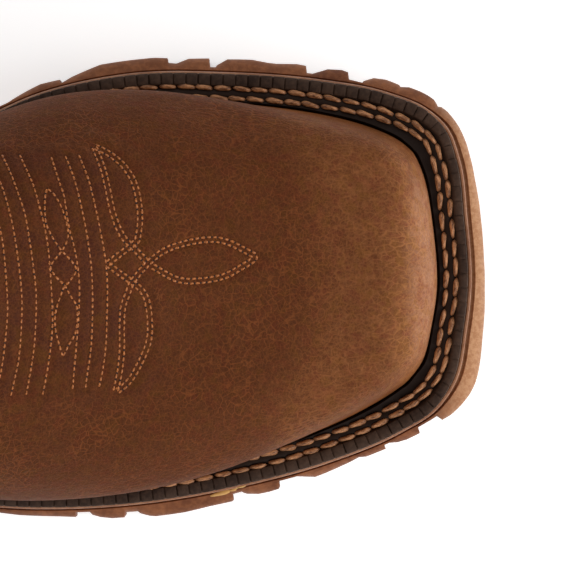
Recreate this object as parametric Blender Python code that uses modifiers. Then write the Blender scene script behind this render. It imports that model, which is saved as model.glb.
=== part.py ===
"""Western work boot for the right foot: broad square toe, ribbed welt, lugged rubber sole.

+X points to the toe, +Y to the big-toe side and +Z up. The origin lies on the floor,
under the middle of the sole. All sizes are in metres.
"""
import math

import bmesh
import bpy
import numpy as np

# Foot and boot sizes
SOLE_LENGTH = 0.308
BALL_WIDTH = 0.108
INSTEP_RISE = 0.115
BOOT_HEIGHT = 0.300
SHAFT_LENGTH = 0.134
SHAFT_WIDTH = 0.098
SCALLOP = 0.020

# Sole sizes
SOLE_STACK = 0.021
TOE_SPRING = 0.012
HEEL_RISE = 0.022
HEEL_LENGTH = 0.070
HEEL_TAPER = 0.0030
HEEL_SOFTENING = 0.0010
MIDSOLE_THICKNESS = 0.0040
MIDSOLE_LIP = 0.0005
MIDSOLE_SOFTENING = 0.0006
OUTSOLE_THICKNESS = 0.0095
OUTSOLE_LIP = 0.0010
OUTSOLE_SOFTENING = 0.0011
LUG_REACH = 0.0038
LUG_SHOULDER = 0.0022
LUG_DRAFT = 0.0006
LUG_START = 0.0009
LUG_BAR = 0.021
TOE_BAR = 0.008
GROOVE_WIDTH = 0.005
GROOVE_DEPTH = 0.006

# Welt sizes
WELT_WIDTH = 0.0072
WELT_THICKNESS = 0.0033
RIB_BAND_WIDTH = 0.0027
RIB_BAND_RAISE = 0.0009

# Leather sizes
UPPER_WALL = 0.0022
SHAFT_WALL = 0.0020
COUNTER_WALL = 0.0018
INSOLE_THICKNESS = 0.0030
SEAM_WIDTH = 0.0060
SEAM_RAISE = 0.0018
STRAP_WIDTH = 0.027
STRAP_THICKNESS = 0.0022
STRAP_DROP = 0.062
STRAP_INSIDE_DROP = 0.030
STRAP_LOOP = 0.020
STRAP_HOLE = 0.012

# Clearance between two pieces that touch, and between the curved layers of the sole
GAP = 0.0003
LAYER_GAP = 0.0007

# Facets round the outline, up the upper, and up the shaft, which shares the upper's last
# rows where it is tucked in
COLUMNS = 64
UPPER_ROWS = 17
TUCKED_ROWS = 1
SHAFT_ROWS = 6
STEP_UP = 0.1
STEP_ROUND = 0.02
HEEL_FACETS = 26
TOE_LUG_FACETS = 20
SHORT_LUG_FACETS = 5
LONG_LUG_FACETS = 8
STRAP_COLUMNS = 4
STRAP_CLIMB_ROWS = 6
STRAP_LOOP_ROWS = 10
STRAP_DROP_ROWS = 4

# Welt edge in plan: along as a share of SOLE_LENGTH, across as a share of BALL_WIDTH.
# The rows run from the toe over the big-toe side to the heel and back.
EDGE = (
    # along, across
    (0.4880, 0.000),
    (0.4848, 0.162),
    (0.4787, 0.296),
    (0.4690, 0.367),
    (0.4530, 0.410),
    (0.4220, 0.448),
    (0.3656, 0.480),
    (0.2906, 0.497),
    (0.2159, 0.495),
    (0.1451, 0.454),
    (0.0650, 0.356),
    (-0.0325, 0.285),
    (-0.1460, 0.273),
    (-0.2600, 0.310),
    (-0.3570, 0.345),
    (-0.4380, 0.310),
    (-0.4820, 0.185),
    (-0.4940, 0.028),
    (-0.4820, -0.130),
    (-0.4380, -0.252),
    (-0.3570, -0.303),
    (-0.2430, -0.338),
    (-0.1130, -0.398),
    (0.0160, -0.472),
    (0.1341, -0.509),
    (0.2270, -0.496),
    (0.3100, -0.453),
    (0.3747, -0.401),
    (0.4318, -0.332),
    (0.4607, -0.278),
    (0.4756, -0.216),
    (0.4844, -0.097),
)
HEEL_ROW = 17

# How much wider the welt is where the leather stands back from it at the toe, as a share of
# WELT_WIDTH against the row of EDGE
WELT_SWELL = (
    # row, share
    (0.0, 0.12),
    (1.0, 0.17),
    (2.0, 0.30),
    (3.0, 0.42),
    (4.0, 0.40),
    (5.0, 0.28),
    (6.0, 0.13),
    (7.5, 0.00),
    (25.0, 0.00),
    (26.5, 0.06),
    (27.5, 0.20),
    (28.5, 0.34),
    (29.5, 0.36),
    (30.5, 0.22),
    (32.0, 0.12),
)

# How far the leather swells outward over the sole edge, as shares of BALL_WIDTH
SWELL = (
    # along, big-toe side, little-toe side
    (-0.50, 0.012, 0.012),
    (-0.35, 0.022, 0.022),
    (-0.15, 0.055, 0.030),
    (0.00, 0.072, 0.036),
    (0.12, 0.062, 0.050),
    (0.22, 0.034, 0.046),
    (0.29, 0.014, 0.034),
    (0.34, 0.002, 0.014),
    (0.40, 0.000, 0.004),
    (0.50, 0.000, 0.000),
)

# Rings of the last, from the sole edge to the throat. front and back are shares of
# SOLE_LENGTH counted from the ends of the last's outline, the rises are shares of
# INSTEP_RISE above the sole's top, spine is a share of BALL_WIDTH, swell scales the table
# above, and square and round shape the nose.
FOOT_RINGS = (
    # front, front rise, back, back rise, spine, swell, square, round
    (0.0000, 0.000, 0.0000, 0.000, 0.000, 0.00, 1.00, 0.60),
    (0.0000, 0.040, -0.0010, 0.040, 0.000, 0.00, 1.00, 0.60),
    (-0.0010, 0.110, -0.0085, 0.095, 0.004, 0.62, 0.90, 0.60),
    (-0.0065, 0.180, -0.0145, 0.165, 0.008, 0.95, 0.84, 0.60),
    (-0.0245, 0.235, -0.0175, 0.225, 0.014, 1.00, 0.72, 0.60),
    (-0.0605, 0.277, -0.0190, 0.275, 0.020, 0.98, 0.46, 0.60),
    (-0.1185, 0.341, -0.0190, 0.320, 0.028, 0.90, 0.22, 0.62),
    (-0.2025, 0.426, -0.0180, 0.370, 0.034, 0.78, 0.05, 0.68),
    (-0.3095, 0.543, -0.0150, 0.420, 0.036, 0.60, 0.00, 0.78),
    (-0.4230, 0.678, -0.0100, 0.480, 0.036, 0.36, 0.00, 0.88),
    (-0.5135, 0.826, -0.0035, 0.560, 0.034, 0.10, 0.00, 0.92),
)

# Rings of the shaft up to the collar. length and width are shares of SHAFT_LENGTH and
# SHAFT_WIDTH, back is a share of SOLE_LENGTH counted from the back of the last's outline,
# and heights are shares of BOOT_HEIGHT.
SHAFT_RINGS = (
    # length, width, back, front height, back height, scallop, round
    (0.800, 0.665, 0.0055, 0.520, 0.420, 0.00, 0.90),
    (0.780, 0.740, 0.0085, 0.615, 0.560, 0.00, 0.86),
    (0.850, 0.870, -0.0045, 0.745, 0.725, 0.00, 0.80),
    (0.930, 0.955, -0.0215, 0.855, 0.865, 0.45, 0.78),
    (1.000, 1.000, -0.0360, 0.955, 0.985, 1.00, 0.76),
)
COLLAR = len(FOOT_RINGS) + len(SHAFT_RINGS) - 1.0

# Top edge of the upper, as a ring number against the place between heel and toe
TOP_LINE = (
    # place, ring
    (0.00, 10.10),
    (0.10, 9.80),
    (0.30, 8.60),
    (0.52, 7.90),
    (0.75, 8.60),
    (0.90, 9.80),
    (0.97, 10.65),
    (1.00, 10.85),
)

# Side seam: its foot as a shaft row, its place between heel and toe there and at the strap,
# and the row where it has reached that second place
SEAM_FOOT = 0.5
SEAM_START = 0.36
SEAM_MIDDLE = 0.5
SEAM_STRAIGHT = 2.4

# Top edge of the counter: along as a share of SOLE_LENGTH, height above the heel seat as a
# share of INSTEP_RISE
COUNTER_LINE = (
    # along, height
    (-0.55, 0.480),
    (-0.48, 0.480),
    (-0.42, 0.460),
    (-0.35, 0.400),
    (-0.28, 0.300),
    (-0.22, 0.190),
    (-0.18, 0.100),
    (-0.16, 0.000),
)

# Lugs on the edge of the sole: place of each end as a share of SOLE_LENGTH, and reach
# beyond the welt as a share of LUG_REACH at the toe end.
BIG_TOE_LUGS = (
    # heel end, toe end, reach
    (0.117, 0.156, 0.75),
    (0.165, 0.244, 1.00),
    (0.251, 0.278, 0.98),
    (0.283, 0.356, 1.00),
    (0.364, 0.390, 0.95),
    (0.402, 0.431, 0.90),
)
LITTLE_TOE_LUGS = (
    # heel end, toe end, reach
    (0.100, 0.169, 0.66),
    (0.180, 0.209, 0.85),
    (0.220, 0.295, 1.00),
    (0.304, 0.333, 0.95),
    (0.349, 0.420, 0.97),
)
TOE_LUG_START = 0.440

# Share of a side lug over which it swells to its reach
LUG_SWELL = 0.45

# A lug shorter than this share of SOLE_LENGTH gets fewer facets
SHORT_LUG = 0.05

# Middle lugs under the forefoot, as shares of SOLE_LENGTH and BALL_WIDTH
MIDDLE_LUGS = (
    # along, across, half length, half width
    (0.140, -0.020, 0.018, 0.150),
    (0.195, -0.010, 0.018, 0.195),
    (0.250, 0.000, 0.018, 0.205),
    (0.305, 0.015, 0.018, 0.190),
    (0.360, 0.030, 0.018, 0.150),
    (0.410, 0.045, 0.016, 0.120),
)

# Grooves across the heel tread, as shares of HEEL_LENGTH from its back
HEEL_GROOVES = (0.30, 0.56, 0.82)
HEEL_GROOVE_REACH = 0.62

# How square the loop of a pull strap is: 1 is round
LOOP_POWER = 0.7


# Helpers

def smooth_step(value, start, end):
    """Ease from 0 at start to 1 at end."""
    share = min(1.0, max(0.0, (value - start) / (end - start)))
    return share * share * (3.0 - 2.0 * share)


def eased(place, places, values):
    """Smooth curve through a short column of values that never overshoots them."""
    places = np.asarray(places, dtype=float)
    values = np.asarray(values, dtype=float)
    steps = np.diff(places)
    slopes = np.diff(values) / steps
    tangents = np.zeros(len(values))
    tangents[0] = slopes[0]
    tangents[-1] = slopes[-1]
    for i in range(1, len(values) - 1):
        if slopes[i - 1] * slopes[i] > 0.0:
            tangents[i] = 2.0 * slopes[i - 1] * slopes[i] / (slopes[i - 1] + slopes[i])
    place = min(max(place, places[0]), places[-1])
    i = min(int(np.searchsorted(places, place, side="right")) - 1, len(steps) - 1)
    step = steps[i]
    t = (place - places[i]) / step
    rise = (1.0 + 2.0 * t) * (1.0 - t) ** 2 * values[i] + t * (1.0 - t) ** 2 * step * tangents[i]
    fall = t * t * (3.0 - 2.0 * t) * values[i + 1] + t * t * (t - 1.0) * step * tangents[i + 1]
    return rise + fall


# Heights of the sole

TOE_TIP = SOLE_LENGTH / 2
HEEL_TIP = -SOLE_LENGTH / 2
HEEL_BREAST = HEEL_TIP + HEEL_LENGTH
SPRING_START = 0.276 * SOLE_LENGTH
SPRING_POWER = 1.7
ARCH_START = 0.146 * SOLE_LENGTH
HEEL_TOP = SOLE_STACK + HEEL_RISE


def toe_spring(x):
    """Height that the sole curls up in front of the ball."""
    share = max(0.0, (x - SPRING_START) / (TOE_TIP - SPRING_START))
    return TOE_SPRING * share ** SPRING_POWER


def seat(x):
    """Top of the midsole, which the welt, the upper and the insole lie on."""
    rise = HEEL_RISE * smooth_step(-x, -ARCH_START, -HEEL_BREAST)
    return SOLE_STACK + toe_spring(x) + rise


def outsole_top(x):
    """Top of the rubber outsole, just under the midsole."""
    return seat(x) - MIDSOLE_THICKNESS - LAYER_GAP


def outsole_base(x):
    """Underside of the outsole between its lugs."""
    return outsole_top(x) - OUTSOLE_THICKNESS


# Outline of the sole

EDGE_POINTS = np.array(EDGE) * (SOLE_LENGTH, BALL_WIDTH)
EDGE_STEPS = np.linalg.norm(np.roll(EDGE_POINTS, -1, axis=0) - EDGE_POINTS, axis=1)


def edge_tangent(row):
    """Direction of the outline at one row of the table."""
    count = len(EDGE_POINTS)
    before = EDGE_STEPS[(row - 1) % count]
    after = EDGE_STEPS[row % count]
    back = (EDGE_POINTS[row % count] - EDGE_POINTS[(row - 1) % count]) / before
    ahead = (EDGE_POINTS[(row + 1) % count] - EDGE_POINTS[row % count]) / after
    return (back * after + ahead * before) / (before + after)


def edge(place, out=0.0):
    """Point of the welt's edge at a place counted in rows, moved outward by out."""
    count = len(EDGE_POINTS)
    row = int(math.floor(place))
    t = place - row
    step = EDGE_STEPS[row % count]
    start = EDGE_POINTS[row % count]
    end = EDGE_POINTS[(row + 1) % count]
    leave = edge_tangent(row) * step
    arrive = edge_tangent(row + 1) * step
    point = (2 * t ** 3 - 3 * t ** 2 + 1) * start + (t ** 3 - 2 * t ** 2 + t) * leave
    point = point + (3 * t ** 2 - 2 * t ** 3) * end + (t ** 3 - t ** 2) * arrive
    along = (6 * t ** 2 - 6 * t) * (start - end) + (3 * t ** 2 - 4 * t + 1) * leave
    along = along + (3 * t ** 2 - 2 * t) * arrive
    normal = np.array((along[1], -along[0])) / np.linalg.norm(along)
    return point + normal * out


def places(count):
    """Evenly numbered places round the outline, toe first."""
    return [len(EDGE) * i / count for i in range(count)]


BIG_TOE_PLACES = np.linspace(0.0, HEEL_ROW, 341)
LITTLE_TOE_PLACES = np.linspace(HEEL_ROW, len(EDGE), 301)


def place_at(x, side):
    """Place on one side of the outline that has this x."""
    if side > 0:
        lengths = [edge(place)[0] for place in BIG_TOE_PLACES]
        return float(np.interp(-x, -np.array(lengths), BIG_TOE_PLACES))
    lengths = [edge(place)[0] for place in LITTLE_TOE_PLACES]
    return float(np.interp(x, lengths, LITTLE_TOE_PLACES))


# The last: rings from the sole edge up to the collar

LEATHER_INSET = GAP + UPPER_WALL + GAP


def welt_width(place):
    """Width of the welt at a place."""
    table = np.array(WELT_SWELL)
    return WELT_WIDTH * (1.0 + eased(place % len(EDGE), table[:, 0], table[:, 1]))


def last_edge(place, out=0.0):
    """Point of the last's foot at a place, moved outward by out."""
    return edge(place, out - welt_width(place) - LEATHER_INSET)


HEEL_CENTRE = EDGE[HEEL_ROW][1] * BALL_WIDTH
WIDEST_HEEL = -0.375 * SOLE_LENGTH
WIDEST_TOE = 0.425 * SOLE_LENGTH
BIG_TOE_SIDE = np.array([last_edge(place) for place in BIG_TOE_PLACES])[::-1]
LITTLE_TOE_SIDE = np.array([last_edge(place) for place in LITTLE_TOE_PLACES])
LAST_FRONT = last_edge(0.0)[0]
LAST_BACK = last_edge(HEEL_ROW)[0]


def side_width(x, side):
    """Half width of the last at the sole edge, held constant past its widest places."""
    x = min(max(x, WIDEST_HEEL), WIDEST_TOE)
    line = BIG_TOE_SIDE if side > 0 else LITTLE_TOE_SIDE
    return float(np.interp(x, line[:, 0], line[:, 1]))


def swell_at(x, side):
    """Outward swell of the leather at this x."""
    table = np.array(SWELL)
    column = 1 if side > 0 else 2
    return side * BALL_WIDTH * eased(x / SOLE_LENGTH, table[:, 0], table[:, column])


def ring_table():
    """Rows of ring values in metres, one row for each ring from the sole to the collar."""
    rows = []
    for front, front_rise, back, back_rise, spine, swell, square, curve in FOOT_RINGS:
        rows.append((LAST_FRONT + front * SOLE_LENGTH, front_rise * INSTEP_RISE,
                     LAST_BACK + back * SOLE_LENGTH, back_rise * INSTEP_RISE,
                     spine * BALL_WIDTH, swell, square, curve,
                     0.0, SHAFT_RINGS[0][1] * SHAFT_WIDTH / 2, 0.0))
    spine = FOOT_RINGS[-1][4] * BALL_WIDTH
    for length, width, back, front_height, back_height, scallop, curve in SHAFT_RINGS:
        start = LAST_BACK + back * SOLE_LENGTH
        rows.append((start + length * SHAFT_LENGTH, front_height * BOOT_HEIGHT, start,
                     back_height * BOOT_HEIGHT, spine, 0.0, 0.0, curve,
                     1.0, width * SHAFT_WIDTH / 2, scallop * SCALLOP))
    return np.array(rows)


RINGS = ring_table()
RING_NUMBERS = np.arange(len(RINGS))


def ring_at(number):
    """Ring values between two rows of the table."""
    return [eased(number, RING_NUMBERS, RINGS[:, column]) for column in range(RINGS.shape[1])]


def last_point(place, number):
    """Point of the last at a place round the outline and a ring number."""
    (front, front_rise, back, back_rise, spine, swell, square, curve,
     leg, leg_half, scallop) = ring_at(number)
    side = 1.0 if place % len(EDGE) < HEEL_ROW else -1.0
    sole_x, sole_y = last_edge(place)
    share = min(1.0, max(0.0, (sole_x - LAST_BACK) / (LAST_FRONT - LAST_BACK)))
    x = back + (front - back) * share
    flat_centre = HEEL_CENTRE * (1.0 - share)
    square_shape = (sole_y - flat_centre) / (side_width(sole_x, side) - flat_centre)
    arc = 2.0 * math.sqrt(share * (1.0 - share))
    shape = square * square_shape + (1.0 - square) * arc ** curve
    centre = HEEL_CENTRE * (1.0 - share) + spine * share
    foot = side_width(x, side) + swell * swell_at(x, side)
    half = (1.0 - leg) * foot + leg * (HEEL_CENTRE + side * leg_half)
    y = centre + (half - centre) * shape
    z = (1.0 - leg) * (seat(x) + LAYER_GAP) + back_rise + (front_rise - back_rise) * share
    return x, y, z + scallop * arc * arc


# Blender helpers

def clear_scene():
    """Remove whatever the start-up file holds."""
    for item in list(bpy.data.objects):
        bpy.data.objects.remove(item, do_unlink=True)


def make_collection(name):
    """New collection in the scene."""
    collection = bpy.data.collections.new(name)
    bpy.context.scene.collection.children.link(collection)
    return collection


def make_material(name, colour, roughness):
    """Plain Principled material."""
    material = bpy.data.materials.new(name)
    material.use_nodes = True
    shader = material.node_tree.nodes["Principled BSDF"]
    shader.inputs["Base Color"].default_value = (*colour, 1.0)
    shader.inputs["Roughness"].default_value = roughness
    shader.inputs["Metallic"].default_value = 0.0
    return material


def make_object(name, bm, collection, material=None):
    """Object from a bmesh, with its faces turned outward."""
    bmesh.ops.recalc_face_normals(bm, faces=bm.faces)
    mesh = bpy.data.meshes.new(name)
    bm.to_mesh(mesh)
    bm.free()
    piece = bpy.data.objects.new(name, mesh)
    collection.objects.link(piece)
    if material:
        mesh.materials.append(material)
    return piece


def shade(piece, angle):
    """Smooth shading with sharp edges past an angle in degrees."""
    piece.data.shade_smooth()
    piece.data.set_sharp_from_angle(angle=math.radians(angle))


def hide_cutter(piece):
    """Show a cutter as wire only."""
    piece.hide_render = True
    piece.display_type = "WIRE"


def boolean(piece, cutter, operation):
    """Join or cut a piece with a cutter."""
    modifier = piece.modifiers.new(operation.title(), "BOOLEAN")
    modifier.operation = operation
    modifier.solver = "EXACT"
    modifier.object = cutter
    hide_cutter(cutter)


def bridge(bm, low, high, closed):
    """Quads between two rows of vertices."""
    count = len(low) if closed else len(low) - 1
    for i in range(count):
        j = (i + 1) % len(low)
        bm.faces.new((low[i], low[j], high[j], high[i]))


def ladder(bm, row):
    """Close an outline with triangles across it, working from the toe back to the heel."""
    left = 0
    right = len(row) - 1
    while right - left > 1:
        ahead = row[left + 1]
        other = row[right - 1]
        if ahead.co.x > other.co.x:
            bm.faces.new((row[left], ahead, row[right]))
            left += 1
        else:
            bm.faces.new((row[left], other, row[right]))
            right -= 1


def plate(name, rows, collection, material, line=edge):
    """Curved plate: rows of (outward offset, height function) from its top to its base."""
    bm = bmesh.new()
    rings = []
    for out, height in rows:
        points = [line(place, out) for place in places(COLUMNS)]
        rings.append([bm.verts.new((x, y, height(x))) for x, y in points])
    for upper_ring, lower_ring in zip(rings, rings[1:]):
        bridge(bm, lower_ring, upper_ring, True)
    ladder(bm, rings[0])
    ladder(bm, rings[-1])
    piece = make_object(name, bm, collection, material)
    shade(piece, 40)
    return piece


# Sole pieces

def make_midsole(collection, material):
    """Thin rim between the welt and the outsole."""
    rows = (
        (MIDSOLE_LIP - MIDSOLE_SOFTENING, seat),
        (MIDSOLE_LIP, lambda x: seat(x) - MIDSOLE_SOFTENING),
        (MIDSOLE_LIP, lambda x: seat(x) - MIDSOLE_THICKNESS),
    )
    return plate("midsole", rows, collection, material)


def make_insole(collection, material):
    """Insole board inside the foot of the upper."""
    rows = (
        (0.0, lambda x: seat(x) + LAYER_GAP + INSOLE_THICKNESS),
        (0.0, lambda x: seat(x) + LAYER_GAP),
    )
    return plate("insole", rows, collection, material, last_edge)


def make_welt(collection, material):
    """Strip sewn round the upper, with a raised band along its outer edge."""
    top = WELT_THICKNESS
    profile = (
        (0.0, 0.0, 0.0),
        (1.0, 0.0, 0.0),
        (1.0, 0.0, top + RIB_BAND_RAISE),
        (1.0, -RIB_BAND_WIDTH, top + RIB_BAND_RAISE),
        (1.0, -RIB_BAND_WIDTH - RIB_BAND_RAISE / 2, top),
        (0.0, 0.0, top),
    )
    bm = bmesh.new()
    rings = []
    for across, out, height in profile:
        ring = []
        for place in places(COLUMNS):
            x, y = edge(place, out - (1.0 - across) * welt_width(place))
            ring.append(bm.verts.new((x, y, seat(x) + LAYER_GAP + height)))
        rings.append(ring)
    for i, ring in enumerate(rings):
        bridge(bm, ring, rings[(i + 1) % len(rings)], True)
    piece = make_object("welt", bm, collection, material)
    shade(piece, 35)
    return piece


def lug_outline(start, end, reach, facets):
    """Places and outward offsets of a lug that swells towards its toe end."""
    rows = []
    for i in range(facets + 1):
        share = i / facets
        swell = smooth_step(share, 0.0, LUG_SWELL)
        out = LUG_START + (reach * LUG_REACH - LUG_START) * swell
        rows.append((start + (end - start) * share, out))
    return rows


def lug_prism(bm, rows, depth):
    """Upright lug along the outline, from its tread face to its shoulder."""
    sections = []
    for place, out in rows:
        section = []
        for offset, height in ((-depth, 0), (out - LUG_DRAFT, 0), (out, 1), (-depth, 1)):
            x, y = edge(place, offset)
            low = toe_spring(x)
            high = outsole_top(x) - LUG_SHOULDER
            section.append(bm.verts.new((x, y, high if height else low)))
        sections.append(section)
    for first, second in zip(sections, sections[1:]):
        bridge(bm, first, second, True)
    bm.faces.new(sections[0])
    bm.faces.new(sections[-1])


def middle_lug(bm, along, across, half_length, half_width):
    """Six-sided lug under the middle of the forefoot."""
    x0 = along * SOLE_LENGTH
    y0 = across * BALL_WIDTH
    dx = half_length * SOLE_LENGTH
    dy = half_width * BALL_WIDTH
    corners = ((-dx, -dy), (0.0, -dy), (dx, 0.0), (0.0, dy), (-dx, dy), (-dx * 0.4, 0.0))
    low = []
    high = []
    for cx, cy in corners:
        x = x0 + cx
        y = y0 + cy
        low.append(bm.verts.new((x, y, toe_spring(x))))
        high.append(bm.verts.new((x, y, outsole_base(x) + OUTSOLE_THICKNESS / 2)))
    bridge(bm, low, high, True)
    bm.faces.new(low)
    bm.faces.new(high)


def make_lugs(collection):
    """All lugs of the outsole as one cutter."""
    bm = bmesh.new()
    for side, table in ((1, BIG_TOE_LUGS), (-1, LITTLE_TOE_LUGS)):
        for heel_end, toe_end, reach in table:
            start = place_at(heel_end * SOLE_LENGTH, side)
            end = place_at(toe_end * SOLE_LENGTH, side)
            facets = SHORT_LUG_FACETS if toe_end - heel_end < SHORT_LUG else LONG_LUG_FACETS
            lug_prism(bm, lug_outline(start, end, reach, facets), LUG_BAR)
    toe_start = place_at(TOE_LUG_START * SOLE_LENGTH, -1) - len(EDGE)
    toe_end = place_at(TOE_LUG_START * SOLE_LENGTH, 1)
    rows = []
    for i in range(TOE_LUG_FACETS + 1):
        rows.append((toe_start + (toe_end - toe_start) * i / TOE_LUG_FACETS, LUG_REACH))
    lug_prism(bm, rows, TOE_BAR)
    for row in MIDDLE_LUGS:
        middle_lug(bm, *row)
    return make_object("lugs", bm, collection)


def make_outsole(collection, cutters, material):
    """Rubber outsole: a curved plate joined to its lugs."""
    rows = (
        (OUTSOLE_LIP - OUTSOLE_SOFTENING, outsole_top),
        (OUTSOLE_LIP, lambda x: outsole_top(x) - OUTSOLE_SOFTENING),
        (OUTSOLE_LIP, lambda x: outsole_base(x) + OUTSOLE_SOFTENING),
        (OUTSOLE_LIP - OUTSOLE_SOFTENING, outsole_base),
    )
    piece = plate("outsole", rows, collection, material)
    boolean(piece, make_lugs(cutters), "UNION")
    return piece


def make_heel(collection, cutters, material):
    """Heel block with a straight breast and grooves across its tread."""
    first = place_at(HEEL_BREAST, 1)
    last = place_at(HEEL_BREAST, -1)
    top = outsole_base(HEEL_TIP) - GAP
    levels = (
        (OUTSOLE_LIP, top),
        (OUTSOLE_LIP, top - HEEL_TAPER),
        (OUTSOLE_LIP - HEEL_TAPER, HEEL_TAPER),
        (OUTSOLE_LIP - HEEL_TAPER - HEEL_SOFTENING, 0.0),
    )
    bm = bmesh.new()
    rings = []
    for out, z in levels:
        points = []
        for i in range(HEEL_FACETS + 1):
            points.append(edge(first + (last - first) * i / HEEL_FACETS, out))
        rings.append([bm.verts.new((x, y, z)) for x, y in points])
    for upper_ring, lower_ring in zip(rings, rings[1:]):
        bridge(bm, lower_ring, upper_ring, True)
    bm.faces.new(rings[0])
    bm.faces.new(rings[-1])
    piece = make_object("heel", bm, collection, material)
    cut = bmesh.new()
    reach = BALL_WIDTH / 2
    for side in (1, -1):
        for share in HEEL_GROOVES:
            x = HEEL_TIP + share * HEEL_LENGTH
            y = HEEL_CENTRE + side * (reach - reach * HEEL_GROOVE_REACH / 2)
            made = bmesh.ops.create_cube(cut, size=1.0)["verts"]
            bmesh.ops.scale(cut, verts=made, vec=(GROOVE_WIDTH, reach * HEEL_GROOVE_REACH,
                                                  2 * GROOVE_DEPTH))
            bmesh.ops.translate(cut, verts=made, vec=(x, y, 0.0))
    boolean(piece, make_object("heel_grooves", cut, cutters), "DIFFERENCE")
    shade(piece, 40)
    return piece


# Leather pieces

def shell(name, rows, inner, outer, collection, material, closed=True):
    """Leather sheet between two offsets of a surface given as rows of points."""
    bm = bmesh.new()
    rings = [[bm.verts.new(point) for point in row] for row in rows]
    for lower, upper in zip(rings, rings[1:]):
        bridge(bm, lower, upper, closed)
    mesh = bpy.data.meshes.new(name)
    bm.to_mesh(mesh)
    bm.free()
    mesh.materials.append(material)
    piece = bpy.data.objects.new(name, mesh)
    collection.objects.link(piece)
    wall = piece.modifiers.new("Wall", "SOLIDIFY")
    wall.thickness = outer - inner
    wall.offset = (outer + inner) / (outer - inner)
    mesh.shade_smooth()
    return piece


def share_at(place):
    """Place between heel (0) and toe (1) of a place round the outline."""
    x = last_edge(place)[0]
    return min(1.0, max(0.0, (x - LAST_BACK) / (LAST_FRONT - LAST_BACK)))


def top_line(place):
    """Ring number of the upper's top edge."""
    table = np.array(TOP_LINE)
    return eased(share_at(place), table[:, 0], table[:, 1])


def upper_rows():
    """Rows of points of the last from the sole edge to the upper's top edge."""
    rows = []
    for i in range(UPPER_ROWS + 1):
        share = i / UPPER_ROWS
        rows.append([last_point(place, top_line(place) * share) for place in places(COLUMNS)])
    return rows


def make_upper(collection, material):
    """Vamp and counter in one hollow sheet, open below and at its top edge."""
    return shell("upper", upper_rows(), GAP, GAP + UPPER_WALL, collection, material)


def shaft_row_point(place, row):
    """Point of the shaft on one of its rows, counted up from the upper's top edge."""
    start = top_line(place)
    return last_point(place, start + (COLLAR - start) * row / SHAFT_ROWS)


def make_shaft(collection, material):
    """Leg of the boot, tucked into the upper below and open at the collar."""
    rows = upper_rows()[-TUCKED_ROWS - 1:]
    for i in range(1, SHAFT_ROWS + 1):
        rows.append([shaft_row_point(place, i) for place in places(COLUMNS)])
    return shell("shaft", rows, -SHAFT_WALL, 0.0, collection, material)


def make_counter(collection, cutters, material):
    """Stiff heel counter, cut from a sheet that lies on the upper."""
    inner = GAP + UPPER_WALL + GAP
    piece = shell("heel_counter", upper_rows(), inner, inner + COUNTER_WALL, collection, material)
    above_welt = LAYER_GAP + WELT_THICKNESS + RIB_BAND_RAISE + GAP
    outline = []
    for along, height in COUNTER_LINE:
        x = along * SOLE_LENGTH
        outline.append((x, HEEL_TOP + height * INSTEP_RISE + above_welt))
    for along, height in reversed(COUNTER_LINE):
        x = along * SOLE_LENGTH
        outline.append((x, min(seat(x), outline[-1][1]) + above_welt))
    bm = bmesh.new()
    near = [bm.verts.new((x, -BALL_WIDTH, z)) for x, z in outline]
    far = [bm.verts.new((x, BALL_WIDTH, z)) for x, z in outline]
    bridge(bm, near, far, True)
    bm.faces.new(near)
    bm.faces.new(far)
    boolean(piece, make_object("counter_outline", bm, cutters), "INTERSECT")
    return piece


def place_of_share(share, side):
    """Place on one side of the boot that lies this far between heel and toe."""
    return place_at_last(LAST_BACK + share * (LAST_FRONT - LAST_BACK), side)


def place_at_last(x, side):
    """Place on one side of the last's outline that has this x."""
    line = BIG_TOE_SIDE if side > 0 else LITTLE_TOE_SIDE
    numbers = BIG_TOE_PLACES[::-1] if side > 0 else LITTLE_TOE_PLACES
    return float(np.interp(x, line[:, 0], numbers))


def shaft_point(place, level):
    """Point on the shaft's facets, with level counted in rows from the upper's top edge."""
    row = min(int(level), SHAFT_ROWS - 1)
    low = np.array(shaft_row_point(place, row))
    high = np.array(shaft_row_point(place, row + 1))
    return low + (high - low) * (level - row)


def frame_at(place, level):
    """Point of the shaft with its outward and upward directions."""
    point = shaft_point(place, level)
    up = point - shaft_point(place, level - STEP_UP)
    round_about = shaft_point(place + STEP_ROUND, level) - point
    out = np.cross(round_about, up)
    return point, out / np.linalg.norm(out), up / np.linalg.norm(up)


def level_below(place, drop):
    """Level on the shaft that lies this far below the collar."""
    levels = np.linspace(0.0, SHAFT_ROWS, 61)
    heights = [shaft_point(place, level)[2] for level in levels]
    return float(np.interp(heights[-1] - drop, heights, levels))


def strap_path(place):
    """Middle line of a pull strap: up the outside, over the collar and down the inside."""
    outside = LAYER_GAP + STRAP_THICKNESS / 2
    inside = -SHAFT_WALL - LAYER_GAP - STRAP_THICKNESS / 2
    path = []
    start = level_below(place, STRAP_DROP)
    for i in range(STRAP_CLIMB_ROWS):
        point, out, _ = frame_at(place, start + (SHAFT_ROWS - start) * i / STRAP_CLIMB_ROWS)
        path.append(point + out * outside)
    point, out, up = frame_at(place, SHAFT_ROWS)
    middle = (outside + inside) / 2
    half = (outside - inside) / 2
    for i in range(STRAP_LOOP_ROWS + 1):
        turn = math.pi * i / STRAP_LOOP_ROWS
        spread = half * math.cos(turn) + STRAP_HOLE / 2 * math.sin(2.0 * turn)
        lift = STRAP_LOOP * max(0.0, math.sin(turn)) ** LOOP_POWER
        path.append(point + out * (middle + spread) + up * lift)
    end = level_below(place, STRAP_INSIDE_DROP)
    for i in range(1, STRAP_DROP_ROWS + 1):
        point, out, _ = frame_at(place, SHAFT_ROWS + (end - SHAFT_ROWS) * i / STRAP_DROP_ROWS)
        path.append(point + out * inside)
    return path


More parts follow.
